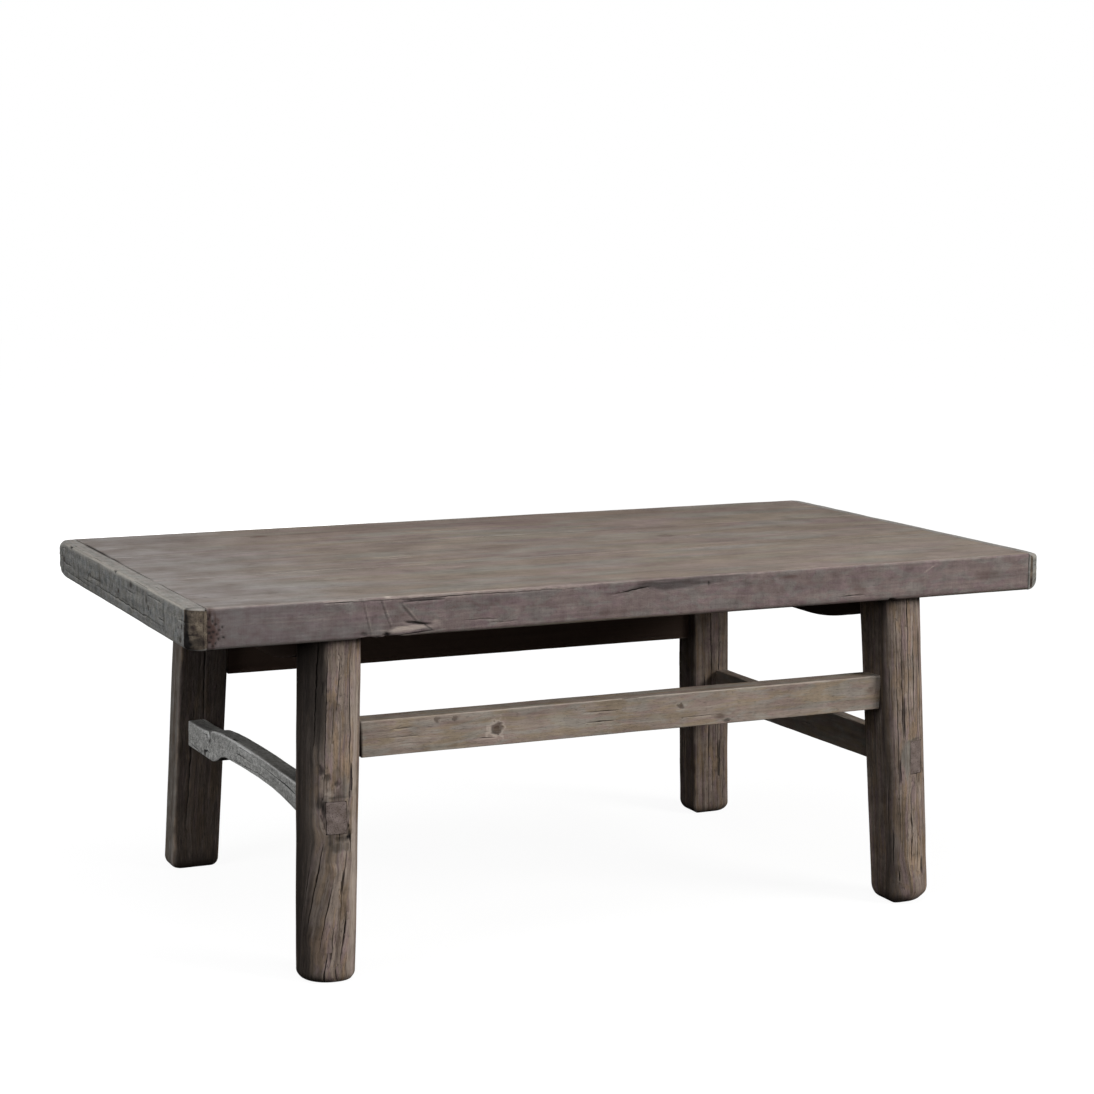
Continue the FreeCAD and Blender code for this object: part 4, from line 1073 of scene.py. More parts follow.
@dataclass
class Leg(Timber):
    """A splayed quarter of a small log: flat towards the table's middle, round on its bark corner.

    Attributes:
        side_x, side_y: which corner of the table it stands at.
        inset: how far its middle stands in from the table's end and side at the top, in mm.
        splay: how far its foot stands further out, in mm.
        top_side, foot_side: its thickness at the two ends, in mm.
        inner_radius, side_radius, outer_radius: its corners, from the heart to the bark.
        foot_round: how round its foot is, in mm.
        foot_worn: how round the foot's corners are worn, in mm.
        foot_wear: the height over which they fade into the shaft, in mm.
        proud: how far its high spots stand out, so that its mean surface keeps its place, in mm.
        foot_back: how far its bottom is worn towards the heart, as a share of the foot's rounding.
        mortise: the low and high x and z of the end stretcher that comes out of it.
        bark: dark bands, each by middle, half width and strength round from the bark corner: weathered dark bark, and
            painted shade on the side turned from the light.
    """

    side_x: int = 1
    side_y: int = 1
    inset: tuple[float, float] = (192.0, 53.5)
    splay: tuple[float, float] = (14.0, 16.0)
    top_side: float = 73.0
    foot_side: float = 70.0
    inner_radius: float = 8.0
    side_radius: float = 26.0
    outer_radius: float = 38.0
    foot_round: float = 12.0
    foot_worn: float = 25.0
    foot_wear: float = 60.0
    proud: float = 0.6
    foot_back: float = 0.2
    mortise: tuple[float, float, float, float] | None = None
    bark: tuple[tuple[float, float, float], ...] = ()

    def __post_init__(self) -> None:
        """Works out the outline's corners from the corner that the leg stands at."""
        corners = ((-1, -1), (1, -1), (1, 1), (-1, 1))
        by_turn = (self.inner_radius, self.side_radius, self.outer_radius)
        self.radii = tuple(by_turn[(x == self.side_x) + (y == self.side_y)] for x, y in corners)
        self.first = corners.index((-self.side_x, -self.side_y))
        self.arris = (self.foot_round, 0.6)

    def centre(self, height: np.ndarray) -> tuple[np.ndarray, np.ndarray]:
        """The middle of the leg's square at a height."""
        down = 1 - height / TOP_UNDERSIDE
        x = self.side_x * (HALF_LENGTH - self.inset[0] + self.splay[0] * down)
        y = self.side_y * (HALF_WIDTH - self.inset[1] + self.splay[1] * down)
        return x, y

    def half(self, height: np.ndarray) -> np.ndarray:
        """Half the side of the leg's square at a height."""
        return (self.foot_side + (self.top_side - self.foot_side) * height / TOP_UNDERSIDE) / 2

    def limits(self, along: np.ndarray) -> tuple[np.ndarray, np.ndarray, np.ndarray, np.ndarray]:
        """The four faces of the leaning leg."""
        x, y = self.centre(along)
        half = self.half(along) + self.proud
        back = self.foot_back * self.foot_drawn(along)
        x, y = x - self.side_x * back, y - self.side_y * back
        return x - half, x + half, y - half, y + half

    def foot_drawn(self, along: np.ndarray) -> np.ndarray:
        """How far the foot's rounding draws its outline in at a height, in mm."""
        below = np.clip(self.foot_round - along, 0, self.foot_round)
        return self.foot_round - np.sqrt(self.foot_round ** 2 - below ** 2)

    def corner_radii(self, along: np.ndarray) -> list[np.ndarray]:
        """The four corner radii: the foot is worn rounder than the shaft."""
        share = np.clip((along - self.foot_round) / self.foot_wear, 0, 1)
        worn = [radius if radius == self.inner_radius else max(radius, self.foot_worn) for radius in self.radii]
        share = share * share * (3 - 2 * share)
        drawn = 0.7 * self.foot_drawn(along)
        return [foot + (radius - foot) * share + drawn for foot, radius in zip(worn, self.radii)]

    def face_y(self, x: np.ndarray, height: np.ndarray) -> np.ndarray:
        """The leg's outward face, round its bark corner, in mm.

        Args:
            x: places across it.
            height: places up it.

        Returns:
            The y of the face at each.
        """
        middle_x, middle_y = self.centre(height)
        half = self.half(height)
        turn = middle_x + self.side_x * (half - self.outer_radius)
        past = np.clip((x - turn) * self.side_x, 0, self.outer_radius * 0.98)
        drop = self.outer_radius - np.sqrt(self.outer_radius ** 2 - past ** 2)
        return middle_y + self.side_y * (half - drop)

    def extra(self, skin: Skin, outline: Outline) -> None:
        """Darkens the bark bands, the bottom of the foot, and the leg's upper end just under the top, where it paints
        the top's shadow.
        """
        mottle = soft_noise(self.seed + 40, skin.base, skin.along, (9.0, 60.0), skin.total)
        # Bark bands: dark bark, and painted shade on the leg's side away from the light.
        for place, reach, strength in self.bark:
            gap = skin.away(self.place_on(outline, None, place)) + 4 * mottle
            skin.tone[..., 3] += strength / (1 + (gap / reach) ** 6)
        # Darker at the bottom of the foot.
        skin.tone[..., 3] += 0.5 * np.exp(-np.clip(skin.along, 0, None) / 9.0)
        # Painted shadow: the top's shade on the leg's upper end.
        skin.tone[..., 3] += 0.6 * np.exp(-np.clip(TOP_UNDERSIDE - skin.along, 0, None) / 7.0)

    def finish_mesh(self, shape: bmesh.types.BMesh) -> None:
        """Adds the tenon on top and opens the mortise that the end stretcher comes out of."""
        x, y = (self.side_x * (HALF_LENGTH - self.inset[0]), self.side_y * (HALF_WIDTH - self.inset[1]))
        cube_between(shape, (x - 17, y - 17, TOP_UNDERSIDE - 3), (x + 17, y + 17, TOP_UNDERSIDE + 30))
        if not self.mortise:
            return
        low_x, high_x, low_z, high_z = (edge * MM for edge in self.mortise)
        _, middle_y = self.centre(np.array([200.0]))
        front = self.side_y * float(middle_y[0]) * MM
        grow = 8 * MM

        def near(face: bmesh.types.BMFace, extra: float) -> bool:
            """Whether a face lies over the mortise, on the leg's outward half."""
            spot = face.calc_center_median()
            inside = low_x - extra < spot.x < high_x + extra and low_z - extra < spot.z < high_z + extra
            return inside and self.side_y * spot.y > front

        patch = [face for face in shape.faces if near(face, grow)]
        for spot, normal in (((low_x, 0, 0), (1, 0, 0)), ((high_x, 0, 0), (1, 0, 0)),
                             ((0, 0, low_z), (0, 0, 1)), ((0, 0, high_z), (0, 0, 1))):
            geometry = patch + list({e for f in patch for e in f.edges}) + list({v for f in patch for v in f.verts})
            cut = bmesh.ops.bisect_plane(shape, geom=geometry, dist=1e-7, plane_co=spot, plane_no=normal)
            patch = [item for item in cut["geom"] if isinstance(item, bmesh.types.BMFace)]
        opened = [face for face in shape.faces if near(face, -0.01 * MM)]
        bmesh.ops.delete(shape, geom=opened, context="FACES")
        rim = [edge for edge in shape.edges if edge.is_boundary]
        wall = bmesh.ops.extrude_edge_only(shape, edges=rim)["geom"]
        inner = [item for item in wall if isinstance(item, bmesh.types.BMVert)]
        bmesh.ops.translate(shape, verts=inner, vec=(0, -self.side_y * 9 * MM, 0))
        for face in [item for item in wall if isinstance(item, bmesh.types.BMFace)]:
            face.material_index = 1
        rims = [edge for edge in shape.edges if edge.is_boundary]
        for face in bmesh.ops.holes_fill(shape, edges=rims, sides=0)["faces"]:
            face.material_index = 1
        bmesh.ops.recalc_face_normals(shape, faces=shape.faces[:])


@dataclass
class LongStretcher(Timber):
    """The front or back stretcher, shouldered to the two legs that it joins."""

    low_y: float = 0.0
    high_y: float = 0.0
    low_z: float = 0.0
    high_z: float = 0.0
    lean: tuple[float, float] = (0.0, 0.0)

    def limits(self, along: np.ndarray) -> tuple[np.ndarray, np.ndarray, np.ndarray, np.ndarray]:
        """The stretcher's faces."""
        same = np.ones_like(along)
        return self.low_y * same, self.high_y * same, self.low_z * same, self.high_z * same

    def trim(self, places: np.ndarray) -> np.ndarray:
        """Leans the two shoulders to the splayed legs."""
        share = (places[..., 0] - self.start) / (self.stop - self.start)
        rise = places[..., 2] - (self.low_z + self.high_z) / 2
        slant = self.lean[0] * np.clip(1 - share * 8, 0, 1) + self.lean[1] * np.clip(share * 8 - 7, 0, 1)
        places[..., 0] += slant * rise
        return places

    def finish_mesh(self, shape: bmesh.types.BMesh) -> None:
        """Adds the two tenons."""
        middle = (self.low_y + self.high_y) / 2
        for end, way in ((self.start, -1), (self.stop, 1)):
            low, high = sorted((end - way * 4, end + way * 30))
            cube_between(shape, (low, middle - 8, self.low_z + 7), (high, middle + 8, self.high_z - 7))


@dataclass
class CrossRail(Timber):
    """The deep-bellied rail under one end of the top."""

    centre_x: float = 0.0
    end_low: float = 401.5
    belly: float = 372.0
    run: float = 88.0

    def limits(self, along: np.ndarray) -> tuple[np.ndarray, np.ndarray, np.ndarray, np.ndarray]:
        """The rail's faces: its lower edge drops from the legs into the belly."""
        same = np.ones_like(along)
        inward = np.clip(np.minimum(along - self.start, self.stop - along), 0, None)
        bend = self.run * 0.85
        slope = (self.end_low - self.belly) / self.run
        past = np.clip(inward - (self.run - bend), 0, 2 * bend)
        drop = slope * (np.minimum(inward, self.run - bend) + past - past ** 2 / (4 * bend))
        return (self.centre_x - 20) * same, (self.centre_x + 20) * same, self.end_low - drop, 427.3 * same

    def extra(self, skin: Skin, outline: Outline) -> None:
        """Darkens the whole rail: painted shade, for rails that sit in the shade under the top."""
        skin.tone[..., 0] += 0.5

    def finish_mesh(self, shape: bmesh.types.BMesh) -> None:
        """Adds the two tenons."""
        for end, way in ((self.start, -1), (self.stop, 1)):
            low, high = sorted((end - way * 4, end + way * 29))
            cube_between(shape, (self.centre_x - 7, low, 404.5), (self.centre_x + 7, high, 423.4))


@dataclass
class EndStretcher(Timber):
    """A stretcher across one end, let right through the legs and pared flush with their round faces.

    Attributes:
        face_x: its outer or inner face at the table's middle, in mm.
        turn: how far that face moves across for each mm towards the back.
        thickness: its thickness, in mm.
        upper, under: its upper and lower edges as corner points along it, in mm.
        soften: over how many mm those corners are rounded.
        front_leg, back_leg: the legs that it passes through.
    """

    face_x: float = 0.0
    turn: float = 0.0
    thickness: float = 26.0
    upper: tuple[tuple[float, float], ...] = ()
    under: tuple[tuple[float, float], ...] = ()
    soften: tuple[float, float] = (3.0, 9.0)
    front_leg: Leg | None = None
    back_leg: Leg | None = None

    def edge(self, points: tuple[tuple[float, float], ...], along: np.ndarray, soften: float) -> np.ndarray:
        """A run of straight stretches with its corners rounded.

        Args:
            points: the corners, each a place along and a height.
            along: where the edge is wanted.
            soften: over how many mm each corner is rounded.

        Returns:
            The edge's height at each place.
        """
        places, heights = zip(*points)
        shifts = np.linspace(-soften, soften, 9)
        return np.mean([np.interp(along + shift, places, heights) for shift in shifts], axis=0)

    def limits(self, along: np.ndarray) -> tuple[np.ndarray, np.ndarray, np.ndarray, np.ndarray]:
        """The stretcher's faces and its shaped edges."""
        face = self.face_x + self.turn * along
        return (face, face + self.thickness, self.edge(self.under, along, self.soften[1]),
                self.edge(self.upper, along, self.soften[0]))

    def trim(self, places: np.ndarray) -> np.ndarray:
        """Pares both ends flush with the legs' round faces."""
        x, z = places[..., 0], places[..., 2]
        front = self.front_leg.face_y(x, z) + 0.1
        back = self.back_leg.face_y(x, z) - 0.1
        places[..., 1] = np.clip(places[..., 1], front, back)
        return places

    def kinds(self, along: np.ndarray, sides: list[Side]) -> np.ndarray:
        """Gives the whole of each pared tenon its end grain."""
        found = super().kinds(along, sides)
        found[(along[1:] < self.start + 16) | (along[:-1] > self.stop - 16)] = 1
        return found


@dataclass
class TableTop:
    """The top: three planks, a narrow strip across each end, and the pegs that hold the strips."""

    front_seam: float = -95.0
    back_seam: float = 123.0
    planks_left: float = -577.0
    planks_right: float = 583.0
    seam_gap: float = 0.5

    def planks(self) -> list[Plank]:
        """The three planks, from the front to the back."""
        shared = {"slot": "top_wood", "axis": Axis.LENGTH, "start": self.planks_left + 0.1,
                  "stop": self.planks_right - 0.1, "finish": TOP_ELM, "arris": (0.25, 0.25)}
        half = self.seam_gap / 2
        front = Plank(
            "top_plank_front", "top_plank_front", **shared, low_y=-HALF_WIDTH, high_y=self.front_seam - half,
            radii=(6.0, 0.6, 0.8, 3.5), first=1, seed=11, row=1.7, side_finish={Side.FRONT: FRONT_ELM},
            step={Side.FRONT: 1.1, Side.TOP: 3.2, Side.UNDER: 8.0, Side.BACK: 8.0}, hewing=0.7, ridges=0.05,
            rub=0.2, wander=3.0, small_checks=16, checks=self.front_checks(), marks=self.front_marks(),
            knots=[Knot(Side.TOP, -240, -150, 6.0, 0.15)])
        middle = Plank(
            "top_plank_middle", "top_plank_middle", **shared, low_y=self.front_seam + half,
            high_y=self.back_seam - half, radii=(0.6, 0.6, 0.8, 0.8), seed=23, row=4.0,
            step={Side.TOP: 2.6, Side.UNDER: 8.0, Side.BACK: 8.0, Side.FRONT: 8.0}, hewing=0.5, ridges=0.12,
            wander=5.0, small_checks=14, marks=self.middle_marks(), knots=[Knot(Side.TOP, 30, 210, 9.0, 0.5)])
        back = Plank(
            "top_plank_back", "top_plank_back", **shared, low_y=self.back_seam + half, high_y=HALF_WIDTH,
            radii=(0.6, 6.0, 4.0, 0.8), seed=37, row=4.0,
            step={Side.TOP: 2.6, Side.BACK: 2.0, Side.UNDER: 8.0, Side.FRONT: 8.0}, hewing=0.5, ridges=0.12,
            wander=5.0, small_checks=16, marks=self.back_marks(), knots=[Knot(Side.TOP, 250, -330, 8.0, 0.5)])
        return [front, middle, back]

    def front_checks(self) -> list[Check]:
        """The cracks in the front plank's edge."""
        return [
            Check(Side.FRONT, 474.5, -395, -90, 0.4, 0.8, slant=1, waver=0.6, widest=0.4),
            Check(Side.FRONT, 462.0, -48, 4, 0.35, 0.8, slant=-6),
            Check(Side.FRONT, 443.5, -250, -200, 0.3, 0.5, slant=2),
        ]

    def front_marks(self) -> list[Mark]:
        """The wane, dents, chips and stains of the front plank's edge, and the painted shadows and highlights of three
        ripples.
        """
        return [
            Mark(Side.FRONT, 469, 34, (7.5, 76), depth=1.4, grey=0.8, crevice=0.5, lean=-0.07, ragged=0.6),
            Mark(Side.TOP, -200, 430, (160, 260), edge=1, ragged=0.2, wear=0.3),
            Mark(Side.FRONT, 463, -14, (1.2, 34), edge=4, wear=0.3, lean=-0.2, ragged=0.6),
            Mark(Side.FRONT, 477.6, -215, (1.3, 200), edge=4, wear=0.4),
            Mark(Side.FRONT, 439, -60, (6, 9), depth=0.5, stain=0.3, lean=0.3),
            Mark(Side.FRONT, 470, -161, (3.5, 42), grey=0.5),
            # Three ripples, each a shallow dent with a painted shadow on one side and a painted highlight on the other.
            Mark(Side.FRONT, 453, -377, (5, 5), depth=0.7, edge=3, crevice=0.35, lean=4.1),
            Mark(Side.FRONT, 453, -374.5, (4, 5), edge=3, wear=0.45, lean=4.1),
            Mark(Side.FRONT, 458, -353, (4, 6), depth=0.8, edge=3, crevice=0.4, lean=2.8),
            Mark(Side.FRONT, 458, -350, (3, 6), edge=3, wear=0.5, lean=2.8),
            Mark(Side.FRONT, 457, -323, (3, 11), depth=0.8, edge=3, crevice=0.45, lean=1.1),
            Mark(Side.FRONT, 457, -319.5, (2.4, 11), edge=3, wear=0.5, lean=1.1),
            Mark(Side.FRONT, 460, -336, (5, 16), stain=0.3, lean=0.6),
            Mark(Side.FRONT, 443.5, -313, (1.7, 16), depth=2.2, edge=4, crevice=0.9, lean=0.15),
            Mark(Side.FRONT, 437.5, -324, (4.8, 32), edge=5, wear=1.0, grey=0.3, lean=-0.06, ragged=0.4),
            Mark(Side.FRONT, 430.5, -318, (1.4, 28), depth=1.6, edge=4, crevice=0.8, lean=-0.1),
            Mark(Side.FRONT, 431, -351.5, (3.2, 4.5), depth=2.5, edge=4, crevice=0.9),
            Mark(Side.FRONT, 427, -377, (4.5, 9), depth=4.0, edge=4, crevice=0.4),
            Mark(Side.FRONT, 427.5, -347, (4.5, 20), depth=5.0, edge=4, crevice=0.9, ragged=0.6),
            Mark(Side.FRONT, 453, 130, (60, 470), ragged=0.0, stain=0.17),
            Mark(Side.FRONT, 433.5, -381, (3, 5), depth=1.2, edge=3, crevice=0.35),
            Mark(Side.FRONT, 437.5, -297, (1.2, 7), edge=4, crevice=0.5, lean=0.7),
            Mark(Side.FRONT, 444, -286, (4, 6), depth=0.8, edge=2, wear=0.45),
            Mark(Side.FRONT, 478, -350, (2.0, 5), edge=3, wear=0.9),
            Mark(Side.FRONT, 439, -37, (7, 16), stain=0.25),
            Mark(Side.FRONT, 468, 90, (3, 1.6), edge=4, crevice=0.6),
            Mark(Side.FRONT, 469, 209, (3.2, 15), stain=0.5),
            Mark(Side.FRONT, 462, 247, (6, 18), stain=0.28),
            Mark(Side.FRONT, 445, 316, (7, 13), stain=0.4, lean=0.2),
            Mark(Side.FRONT, 438, 293, (1.6, 2.4), edge=3, crevice=0.5),
            Mark(Side.FRONT, 428, 367, (4, 5), depth=2.5, edge=4, crevice=0.7),
            Mark(Side.FRONT, 467, 424, (0.8, 10), edge=4, wear=0.9, lean=-0.55),
            Mark(Side.FRONT, 453, 520, (9, 22), stain=0.4),
            Mark(Side.FRONT, 453, -575, (30, 9), edge=2, stain=0.9, crevice=0.35, ragged=1.0),
            Mark(Side.FRONT, 446, -566, (15, 8), edge=2, stain=0.6, ragged=1.0),
            Mark(Side.TOP, -248, -554, (2.2, 3), depth=0.8, edge=3, crevice=0.6),
            Mark(Side.TOP, -270, -524, (1.8, 3), depth=0.6, edge=3, crevice=0.5),
        ] + [Mark(Side.FRONT, height, place, (1.7, 1.5), depth=0.7, edge=3, crevice=0.9) for height, place in
             ((470, -573), (463, -570), (456, -574), (450, -569), (444, -572), (438, -574), (433, -570), (459, -566),
              (452, -562), (447, -565), (441, -563), (436, -567), (466, -575), (455, -558), (443, -557), (449, -574))]

    def middle_marks(self) -> list[Mark]:
        """The stains of the middle plank."""
        return [
            Mark(Side.TOP, 112, 300, (9, 290), stain=0.3),
            Mark(Side.TOP, 110, -577, (40, 2.6), edge=2, ragged=0.2, crevice=0.8),
            Mark(Side.TOP, 10, -120, (26, 240), edge=1, stain=0.18),
            Mark(Side.TOP, 60, 120, (12, 150), edge=1, wear=0.15),
        ]

    def back_marks(self) -> list[Mark]:
        """The redder band along the back of the top, darker also as painted shade, since the back lies in less light.
        """
        return [
            # A redder band whose darkness also paints the back of the top as lying in less light.
            Mark(Side.TOP, 268, 40, (56, 560), edge=3, stain=0.34),
            Mark(Side.TOP, 200, -577, (75, 3.0), edge=3, ragged=0.2, crevice=0.95),
            Mark(Side.TOP, 150, -260, (12, 180), edge=1, wear=0.22),
        ]

    def strips(self) -> list[EndStrip]:
        """The two end strips."""
        holes = PegRow("pegs_left", -1).places()
        left = EndStrip(
            "end_strip_left", "end_strip_left", "end_strip_wood", Axis.DEPTH, -HALF_WIDTH, HALF_WIDTH, STRIP_ELM,
            ends=CORNER_GRAIN, radii=(6.0, 0.3, 0.3, 4.0), first=1, seed=51, row=1.3, outer=-HALF_LENGTH,
            inner=-577.1, corners=(20.0, 3.0), wormed=19.0, worn=((0, 8.0, 12.0), (3, 4.0, 12.0)), arris=(3.0, 3.0),
            side_finish={Side.LEFT: END_FACE_ELM}, hewing=0.9, ridges=0.3, wander=2.0, small_checks=18,
            step={Side.LEFT: 1.2, Side.TOP: 1.6, Side.UNDER: 4.0, Side.RIGHT: 8.0},
            checks=[Check(Side.LEFT, 441.2, -230, 93, 0.9, 2.0, slant=-2.5, waver=0.8),
                    Check(Side.LEFT, 437, 150, 300, 0.7, 1.4, slant=-3),
                    Check(Side.LEFT, 446, -328, -312, 0.9, 1.6)],
            marks=[Mark(Side.LEFT, 453.25, place, (3.7, 3.7), depth=1.9, edge=9, ragged=0, crevice=0.9)
                   for place in holes]
            + [Mark(Side.LEFT, height, place, (size, size), depth=1.4, edge=6, crevice=0.9) for height, place, size in
               ((448, 17.7, 2.4), (449, -160.9, 2.6), (451, -142.1, 2.2), (452, 158.4, 2.4), (450.5, -287.8, 2.0),
                (433, 325.7, 3.0), (441, -318.0, 3.2), (458, -313, 1.6), (434, -322, 1.8))]
            + [Mark(Side.LEFT, 477, 0, (5.0, 420), edge=3, wear=0.75),
               Mark(Side.LEFT, 477, 259.9, (3, 7), depth=2.5, edge=3, crevice=0.85),
               Mark(Side.LEFT, 477, 14.8, (3, 6), depth=2.2, edge=3, crevice=0.85),
               Mark(Side.LEFT, 453, 307, (26, 1.6), edge=3, stain=0.8),
               Mark(Side.LEFT, 470.5, -66, (5, 7), stain=0.8), Mark(Side.LEFT, 462.7, -143, (6, 6), stain=0.7),
               Mark(Side.LEFT, 437, -296, (5, 6), stain=0.8), Mark(Side.LEFT, 455, 95, (16, 4), stain=0.6),
               Mark(Side.LEFT, 446, 215, (14, 5), stain=0.5), Mark(Side.LEFT, 459, -222, (15, 4), stain=0.5),
               Mark(Side.LEFT, 453, -317, (40, 6.0), edge=3, ragged=0.4, crevice=0.9),
               Mark(Side.LEFT, 434, -322, (9, 12), edge=2, ragged=0.9, crevice=0.7),
               Mark(Side.TOP, -577.8, 168, (2.4, 100), edge=3, ragged=0.5, crevice=0.95)])
        right = EndStrip(
            "end_strip_right", "end_strip_right", "end_strip_wood", Axis.DEPTH, -HALF_WIDTH, HALF_WIDTH, STRIP_ELM,
            ends=CORNER_GRAIN, radii=(0.6, 6.0, 4.0, 0.8), first=0, seed=59, row=1.8, outer=HALF_LENGTH,
            inner=583.1, corners=(6.5, 16.0), worn=((1, 14.0, 6.0), (2, 7.0, 6.0)), arris=(3.0, 3.0),
            side_finish={Side.RIGHT: END_FACE_ELM}, hewing=0.9, ridges=0.3, wander=2.0, small_checks=18,
            step={Side.RIGHT: 1.4, Side.TOP: 1.6, Side.UNDER: 4.0, Side.LEFT: 8.0},
            checks=[Check(Side.RIGHT, 449, -200, 30, 1.0, 2.2, slant=2, waver=0.8),
                    Check(Side.RIGHT, 462, 110, 250, 0.7, 1.4, slant=-3)],
            marks=[Mark(Side.RIGHT, 453.25, place, (3.7, 3.7), depth=1.9, edge=9, ragged=0, crevice=0.9)
                   for place in holes]
            + [Mark(Side.RIGHT, 477, 0, (5.0, 420), edge=3, wear=0.7),
               Mark(Side.RIGHT, 446, -190, (14, 5), stain=0.6), Mark(Side.RIGHT, 458, 60, (15, 5), stain=0.5)])
        return [left, right]

    def build(self) -> None:
        """Builds every piece of the top."""
        for piece in self.planks() + self.strips():
            piece.build()
        for name, outward in (("pegs_left", -1), ("pegs_right", 1)):
            PegRow(name, outward).build()


@dataclass
class Underframe:
    """Four splayed legs, two long stretchers, two end stretchers and two rails under the top."""

    legs: dict[str, Leg] = field(default_factory=dict)

    def make_legs(self) -> None:
        """Sets out the four legs with their own checks and dark bands, the bands partly dark bark and partly painted
        shade.
        """
        fine = {Side.FRONT: 1.15, Side.LEFT: 1.3, Side.RIGHT: 1.6, Side.BACK: 1.8}
        shared = {"slot": "leg_wood", "axis": Axis.HEIGHT, "start": 0.0, "stop": 429.0, "finish": LEG_ELM,
                  "step": fine, "row": 2.0, "hewing": 0.9, "ridges": 0.9, "wander": 1.8, "small_checks": 34,
                  "ends": FOOT_GRAIN}
        calm = {**shared, "hewing": 0.3, "ridges": 0.4, "wander": 1.0, "small_checks": 8}
        # Front-left leg: its bark bands are dark bark and painted shade on its left side under the top.
        self.legs["front_left"] = Leg(
            "leg_front_left", "leg_front_left", **shared, seed=71, side_x=-1, side_y=-1, inset=(192.0, 53.5),
            splay=(14.0, 16.0), top_side=73.0, foot_side=70.0, inner_radius=8.0, side_radius=26.0,
            outer_radius=38.0, foot_round=10.5, foot_worn=28.0, mortise=(-427.95, -401.65, 186.85, 227.65),
            bark=((-19, 20, 0.78), (-64, 27, 0.5), (10, 8, 0.35)), sweep=((0, -24), (172, 0)),
            sweep_round=(5.0, 50.0),
            checks=[Check(None, -2, 292, 424, 1.5, 4.0, slant=5.5, waver=0.8, widest=0.85),
                    Check(None, 28.6, 350, 398, 0.8, 2.4, slant=2.5),
                    Check(None, 21.6, 300, 342, 0.7, 2.2, slant=2.0),
                    Check(None, -12, 60, 176, 0.9, 3.0, slant=24, widest=0.6),
                    Check(None, 33.7, 96, 166, 0.7, 2.4, slant=9),
                    Check(None, 7.0, 42, 136, 0.9, 3.0, slant=19),
                    Check(None, 36.5, 24, 90, 1.1, 3.4, slant=7),
                    Check(None, 20.0, 22, 72, 0.9, 3.0, slant=6),
                    Check(None, 12.0, -4, 40, 1.3, 3.4, slant=6, widest=0.3),
                    Check(None, 46.0, 240, 400, 0.5, 1.6, slant=-3),
                    Check(None, 12.0, 230, 420, 0.5, 1.6, slant=4),
                    Check(None, -48, 20, 200, 0.8, 2.0, slant=5)],
            marks=[Mark(None, 24, 345, (5, 12), depth=0.8, edge=2, stain=0.5),
                   Mark(None, 5, 370, (11, 90), edge=3, stain=0.45, ragged=0.3),
                   Mark(None, 31, 208, (21, 40), depth=0.6, edge=4, grey=0.5, stain=0.35, ragged=0.9),
                   Mark(None, 12, 216, (3.4, 15), depth=1.6, edge=3, crevice=0.7, ragged=0.9),
                   Mark(None, 46, 186, (3.0, 13), depth=1.8, edge=3, crevice=0.8, ragged=0.9),
                   Mark(None, 33, 181, (12, 4.5), depth=1.2, edge=3, crevice=0.5, ragged=0.9),
                   Mark(None, 20, 238, (8, 5), depth=1.0, edge=3, wear=0.6, ragged=0.9),
                   Mark(None, 24, 160, (13, 20), depth=0.5, edge=3, grey=0.35, stain=0.2, ragged=0.9),
                   Mark(None, 8, 266, (3, 8), depth=1.6, edge=3, crevice=0.7, ragged=0.6),
                   Mark(None, 17, 257, (4, 6), depth=1.4, edge=3, crevice=0.6, ragged=0.6),
                   Mark(None, 28, 249, (4, 5), depth=1.4, edge=3, crevice=0.6, ragged=0.6),
                   Mark(None, -40, 300, (0.9, 90), edge=3, wear=0.4, ragged=0.5),
                   Mark(None, -58, 210, (0.9, 120), edge=3, wear=0.35, ragged=0.5),
                   Mark(None, 27, 233, (14, 3), edge=3, crevice=0.5, ragged=0.9),
                   Mark(None, 43, 196, (2.2, 9), depth=0.8, edge=3, crevice=0.6, ragged=0.9),
                   Mark(None, 54, 210, (7, 230), wear=0.5, ragged=0.5)])
        # Front-right leg: its bark bands paint the shade on its inner side under the table.
        self.legs["front_right"] = Leg(
            "leg_front_right", "leg_front_right", **shared, seed=83, side_x=1, side_y=-1, inset=(198.0, 53.5),
            splay=(20.0, 11.0), top_side=71.0, foot_side=66.5, inner_radius=6.0, side_radius=14.0,
            outer_radius=38.0, foot_round=20.0, foot_worn=23.0, foot_back=0.35, mortise=(408.85, 429.15, 183.35, 229.15),
            bark=((-90, 28, 0.52), (-56, 16, 0.33)), sweep=((0, -4), (62, -6), (94, -8), (124, -6), (170, 0)),
            sweep_round=(-30.0, 40.0),
            checks=[Check(None, -22.3, 256, 404, 1.0, 3.2, slant=1.5, widest=0.4),
                    Check(None, -40.4, 232, 404, 0.8, 2.8, slant=1.5),
                    Check(None, -34.1, 58, 174, 1.3, 4.0, slant=6, waver=1.4),
                    Check(None, -23.1, 48, 106, 0.8, 2.8, slant=2),
                    Check(None, -55.7, 34, 50, 0.9, 2.0),
                    Check(None, -50.0, 90, 400, 0.5, 1.8, slant=3),
                    Check(None, -31.0, 240, 420, 0.5, 1.6, slant=1),
                    Check(None, -10.0, 40, 190, 0.6, 2.0, slant=-3),
                    Check(None, -8.0, 250, 400, 0.6, 2.0, slant=3)],
            marks=[Mark(None, -22, 340, (2.5, 26), edge=2, grey=0.6, crevice=0.2),
                   Mark(None, -34, 206, (9, 25), edge=5, grey=0.9, stain=0.1, ragged=0.5),
                   Mark(None, -22, 231, (12, 2.4), edge=3, grey=0.6, crevice=0.4, ragged=0.9)])
